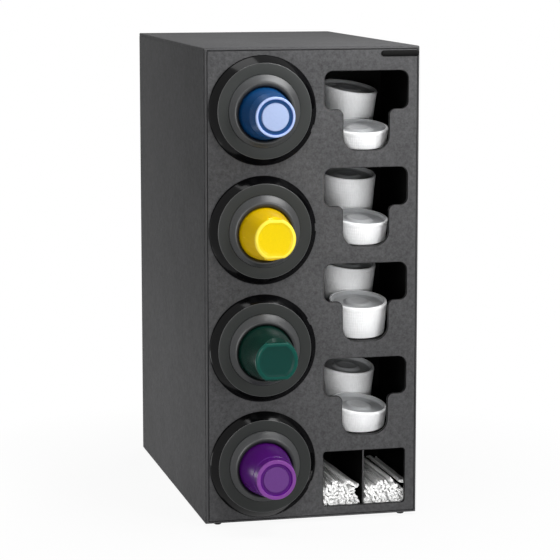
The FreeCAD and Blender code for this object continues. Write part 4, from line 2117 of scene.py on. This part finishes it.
@dataclass
class StrawBin:
    """Wrapped straws lying front to back in one half of the bin.

    Attributes:
        side: left or right.
        seed: starts the draw of places and creases.
        strays: (lift, inset, drift) of straws on top: over the crest at the front, from the right
            wall, and how far the rear end lies to the left of the front one.
        diameter: of a wrapped straw.
        sides: of its section.
        crumple: the share of its length that is crumpled at each end.
        spacing: from one straw to the next across and up, in diameters.
    """

    side: str
    seed: int
    strays: tuple
    diameter: float = 7.4 * MM
    sides: int = 12
    crumple: float = 0.075
    spacing: tuple = (1.02, 0.93)

    def straw(self, draw: np.random.Generator, start: np.ndarray, end: np.ndarray) -> Sheet:
        """One straw: a tube from start to end whose ends are pressed flat, torn and crinkled.

        The section is an ellipse. Near an end its height shrinks, its width grows, and both are
        shaken by a sum of sines with random phases.

        Args:
            draw: the random numbers.
            start: the middle of its front end.
            end: the middle of its rear end.

        Returns:
            The straw's skin.
        """
        front, rear = np.linspace(0.0, self.crumple, 6), np.linspace(0.93, 1, 5)
        share = np.concatenate([[0], front, np.linspace(0.16, 0.86, 5), rear, [1]])[:, None]
        angle = np.linspace(0, 2 * math.pi, self.sides, endpoint=False)
        near_end = np.clip(1 - share / self.crumple, 0, 1)
        near_end = near_end + np.clip((share - 1 + self.crumple) / self.crumple, 0, 1)
        high = self.diameter / 2 * (1 - 0.3 * near_end**0.7)
        wide = self.diameter / 2 * (1 + 0.35 * near_end)
        twist = draw.uniform(0, math.pi) + draw.uniform(-0.8, 0.8) * near_end
        phase = draw.uniform(0, 2 * math.pi, 3)
        wave = np.sin(2 * angle + phase[0] + share * 60) + np.sin(3 * angle + phase[1])
        shake = 1 + 0.12 * wave * (0.3 + near_end)
        a, b = wide * np.cos(angle) * shake, high * np.sin(angle) * shake
        opened = np.ones_like(share)
        opened[[0, -1]] = 0
        u = (a * np.cos(twist) - b * np.sin(twist)) * opened
        v = (a * np.sin(twist) + b * np.cos(twist)) * opened
        line = start + (end - start) * share
        bow = np.sin(math.pi * share) * draw.uniform(-1.0, 1.0) * MM
        ragged = draw.uniform(-1.6, 1.6, u.shape) * MM * near_end * opened
        points = np.stack([line[:, :1] + u + bow, line[:, 1:2] + ragged, line[:, 2:] + v], axis=-1)
        return Sheet(points, wrap_columns=True)

    def places(self, draw: np.random.Generator) -> list[tuple[np.ndarray, np.ndarray]]:
        """The straws' ends, laid row by row and cut off over the heap's uneven crest.

        Args:
            draw: the random numbers.

        Returns:
            The front and the rear end of each straw.
        """
        low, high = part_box(self.side + "_straws")
        half = self.diameter / 2
        step, rise = (self.diameter * share for share in self.spacing)
        wide, tall = high[0] - low[0], high[2] - low[2]
        found = []
        for row in range(int(tall / rise)):
            z = low[2] + half + 0.3 * MM + row * rise
            shift = step / 2 if row % 2 else 0.0
            for k in range(int((wide - shift) / step)):
                x = low[0] + half + 0.6 * MM + shift + k * step
                across = (x - low[0]) / wide
                crest = low[2] + tall * (1 - 1.1 * abs(across - 0.42) ** 1.6) - half
                if z > crest or x > high[0] - half - 0.4 * MM:
                    continue
                near = low[1] + draw.uniform(0.5, 10.0) * MM
                far = high[1] - draw.uniform(0.5, 6.0) * MM
                lean = draw.uniform(-1.4, 1.4, 2) * MM
                side = np.clip(x + lean, low[0] + half, high[0] - half)
                top = min(z + draw.uniform(0, 0.8) * MM, high[2] - half)
                found.append((np.array([side[0], near, top]), np.array([side[1], far, z])))
        for lift, inset, drift in self.strays:
            x, z = high[0] - inset - half, low[2] + tall + lift - half
            start = np.array([x, low[1] + draw.uniform(2, 8) * MM, z])
            found.append((start, np.array([x - drift, high[1] - 4 * MM, z + drift / 2])))
        return found

    def build(self, look: Finishes) -> None:
        """Makes the heap in place of its CAD node.

        Args:
            look: the materials.
        """
        draw = np.random.default_rng(self.seed)
        mould = Mould(self.side + "_straw_heap")
        for start, end in self.places(draw):
            mould.add([self.straw(draw, start, end)])
        settle(mould.cast([look.paper], 50.0), "root", "straw_wrap", self.side + "_straws")


# The studio


@dataclass
class Lamp:
    """A rectangular softbox aimed at a point.

    Attributes:
        name: the lamp's name.
        place: where it hangs.
        aim: the point it shines at.
        size: its width and height.
        power: in watts.
    """

    name: str
    place: tuple
    aim: tuple
    size: tuple
    power: float

    def build(self) -> None:
        """Makes the lamp."""
        data = bpy.data.lights.new(self.name, "AREA")
        data.shape = "RECTANGLE"
        data.size, data.size_y = self.size
        data.energy = self.power
        lamp = bpy.data.objects.new(self.name, data)
        lamp.location = self.place
        lamp.rotation_euler = (Vector(self.aim) - Vector(self.place)).to_track_quat("-Z", "Y").to_euler()
        bpy.context.scene.collection.objects.link(lamp)


@dataclass
class Studio:
    """White floor and surroundings, soft lamps, and the camera at the photograph's place.

    Attributes:
        camera_place: where the camera stands.
        camera_yaw: its turn to the right, in degrees.
        camera_pitch: its turn down, in degrees.
        lens: in millimetres.
        sensor: the width of the picture behind the lens, in millimetres.
        sight: how far the camera sees, in metres.
        ambient: the strength of the light from all round.
        floor_reach: half the floor's width.
        floor_grey: how much light the floor gives back.
        shadow: the share of plain white over the object's shadow, and how far out it starts and
            stops to fade to all white.
        lamps: the softboxes.
    """

    camera_place: tuple = (-0.953, -3.978, 1.009)
    camera_yaw: float = 13.52
    camera_pitch: float = 8.63
    lens: float = 145.3
    sensor: float = 36.0
    sight: float = 300.0
    ambient: float = 0.08
    floor_reach: float = 90.0
    floor_grey: float = 0.7
    shadow: tuple = (0.93, 0.35, 0.8)
    lamps: tuple = (
        Lamp("key_softbox", (0.5, -0.7, 1.5), (0.05, -0.2, 0.75), (0.8, 0.6), 15.5),
        Lamp("overhead_softbox", (-0.48, -0.2, 2.3), (-0.15, 0.0, 0.8), (1.4, 0.8), 16.0),
        Lamp("left_fill", (-0.7, 0.1, 0.1), (-0.2, 0.05, 0.1), (0.6, 0.2), 1.4),
        Lamp("right_softbox", (0.95, -2.3, 1.1), (0.0, -0.25, 0.4), (0.9, 0.9), 19.0),
        Lamp("rear_fill", (1.6, 2.0, 0.42), (0.1, 0.3, 0.4), (1.2, 0.7), 30.0),
        Lamp("low_softbox", (-0.7, -2.7, 0.4), (0.0, -0.25, 0.3), (0.8, 0.7), 25.0),
    )

    def camera(self) -> None:
        """Makes the camera."""
        data = bpy.data.cameras.new("camera")
        data.lens = self.lens
        data.sensor_width = self.sensor
        data.clip_end = self.sight
        camera = bpy.data.objects.new("camera", data)
        camera.location = self.camera_place
        tilt = math.radians(90 - self.camera_pitch)
        camera.rotation_euler = (tilt, 0.0, -math.radians(self.camera_yaw))
        bpy.context.scene.collection.objects.link(camera)
        bpy.context.scene.camera = camera

    def world(self) -> None:
        """Plain grey light all round, white where it is seen directly, mirrored or through glass."""
        recipe = Recipe(bpy.data.worlds.new("studio"))
        strength = recipe.seen() * (1 - self.ambient) + self.ambient
        light = recipe.node("ShaderNodeBackground", {}, {"Color": WHITE, "Strength": strength})
        bpy.context.scene.world = recipe.close(light, "ShaderNodeOutputWorld")

    def floor(self) -> None:
        """A wide white floor that keeps the object's shadow and is white to the camera elsewhere."""
        mesh = bpy.data.meshes.new("floor")
        reach = self.floor_reach
        corners = [(-reach, -reach, 0), (reach, -reach, 0), (reach, reach, 0), (-reach, reach, 0)]
        mesh.from_pydata(corners, [], [(0, 1, 2, 3)])
        floor = bpy.data.objects.new("floor", mesh)
        bpy.context.scene.collection.objects.link(floor)
        recipe = Recipe.of("white_floor")
        length = {"operation": "LENGTH"}
        away = recipe.node("ShaderNodeVectorMath", length, {0: recipe.place}, output="Value")
        least, start, stop = self.shadow
        share = (recipe.ramp(away, start, stop) * (1 - least) + least) * recipe.seen()
        grey = (self.floor_grey, self.floor_grey, self.floor_grey, 1.0)
        matt = recipe.node("ShaderNodeBsdfDiffuse", {}, {"Color": grey})
        white = recipe.node("ShaderNodeEmission")
        blend = recipe.node("ShaderNodeMixShader", {}, {0: share, 1: matt, 2: white})
        mesh.materials.append(recipe.close(blend))

    def build(self) -> None:
        """Makes the studio."""
        scene = bpy.context.scene
        scene.view_settings.view_transform = "Standard"
        self.camera()
        self.world()
        self.floor()
        for lamp in self.lamps:
            lamp.build()


def main() -> None:
    """Builds the studio, the cabinet, the heads and what the bays hold."""
    logging.basicConfig(level=logging.INFO, format="%(message)s")
    Studio().build()
    look = Finishes()
    Cabinet().build(look)
    for number in HEADS:
        Head(number).build(look)
    Lids().build(look)
    left = ((-9 * MM, 1 * MM, 24 * MM), (-6 * MM, 9 * MM, 22 * MM), (-2 * MM, 18 * MM, 16 * MM))
    right = ((-4 * MM, 3 * MM, 2 * MM), (-1 * MM, 12 * MM, 6 * MM), (2 * MM, 30 * MM, 10 * MM))
    StrawBin("left", 11, left).build(look)
    StrawBin("right", 23, right).build(look)


if __name__ == "__main__":
    main()
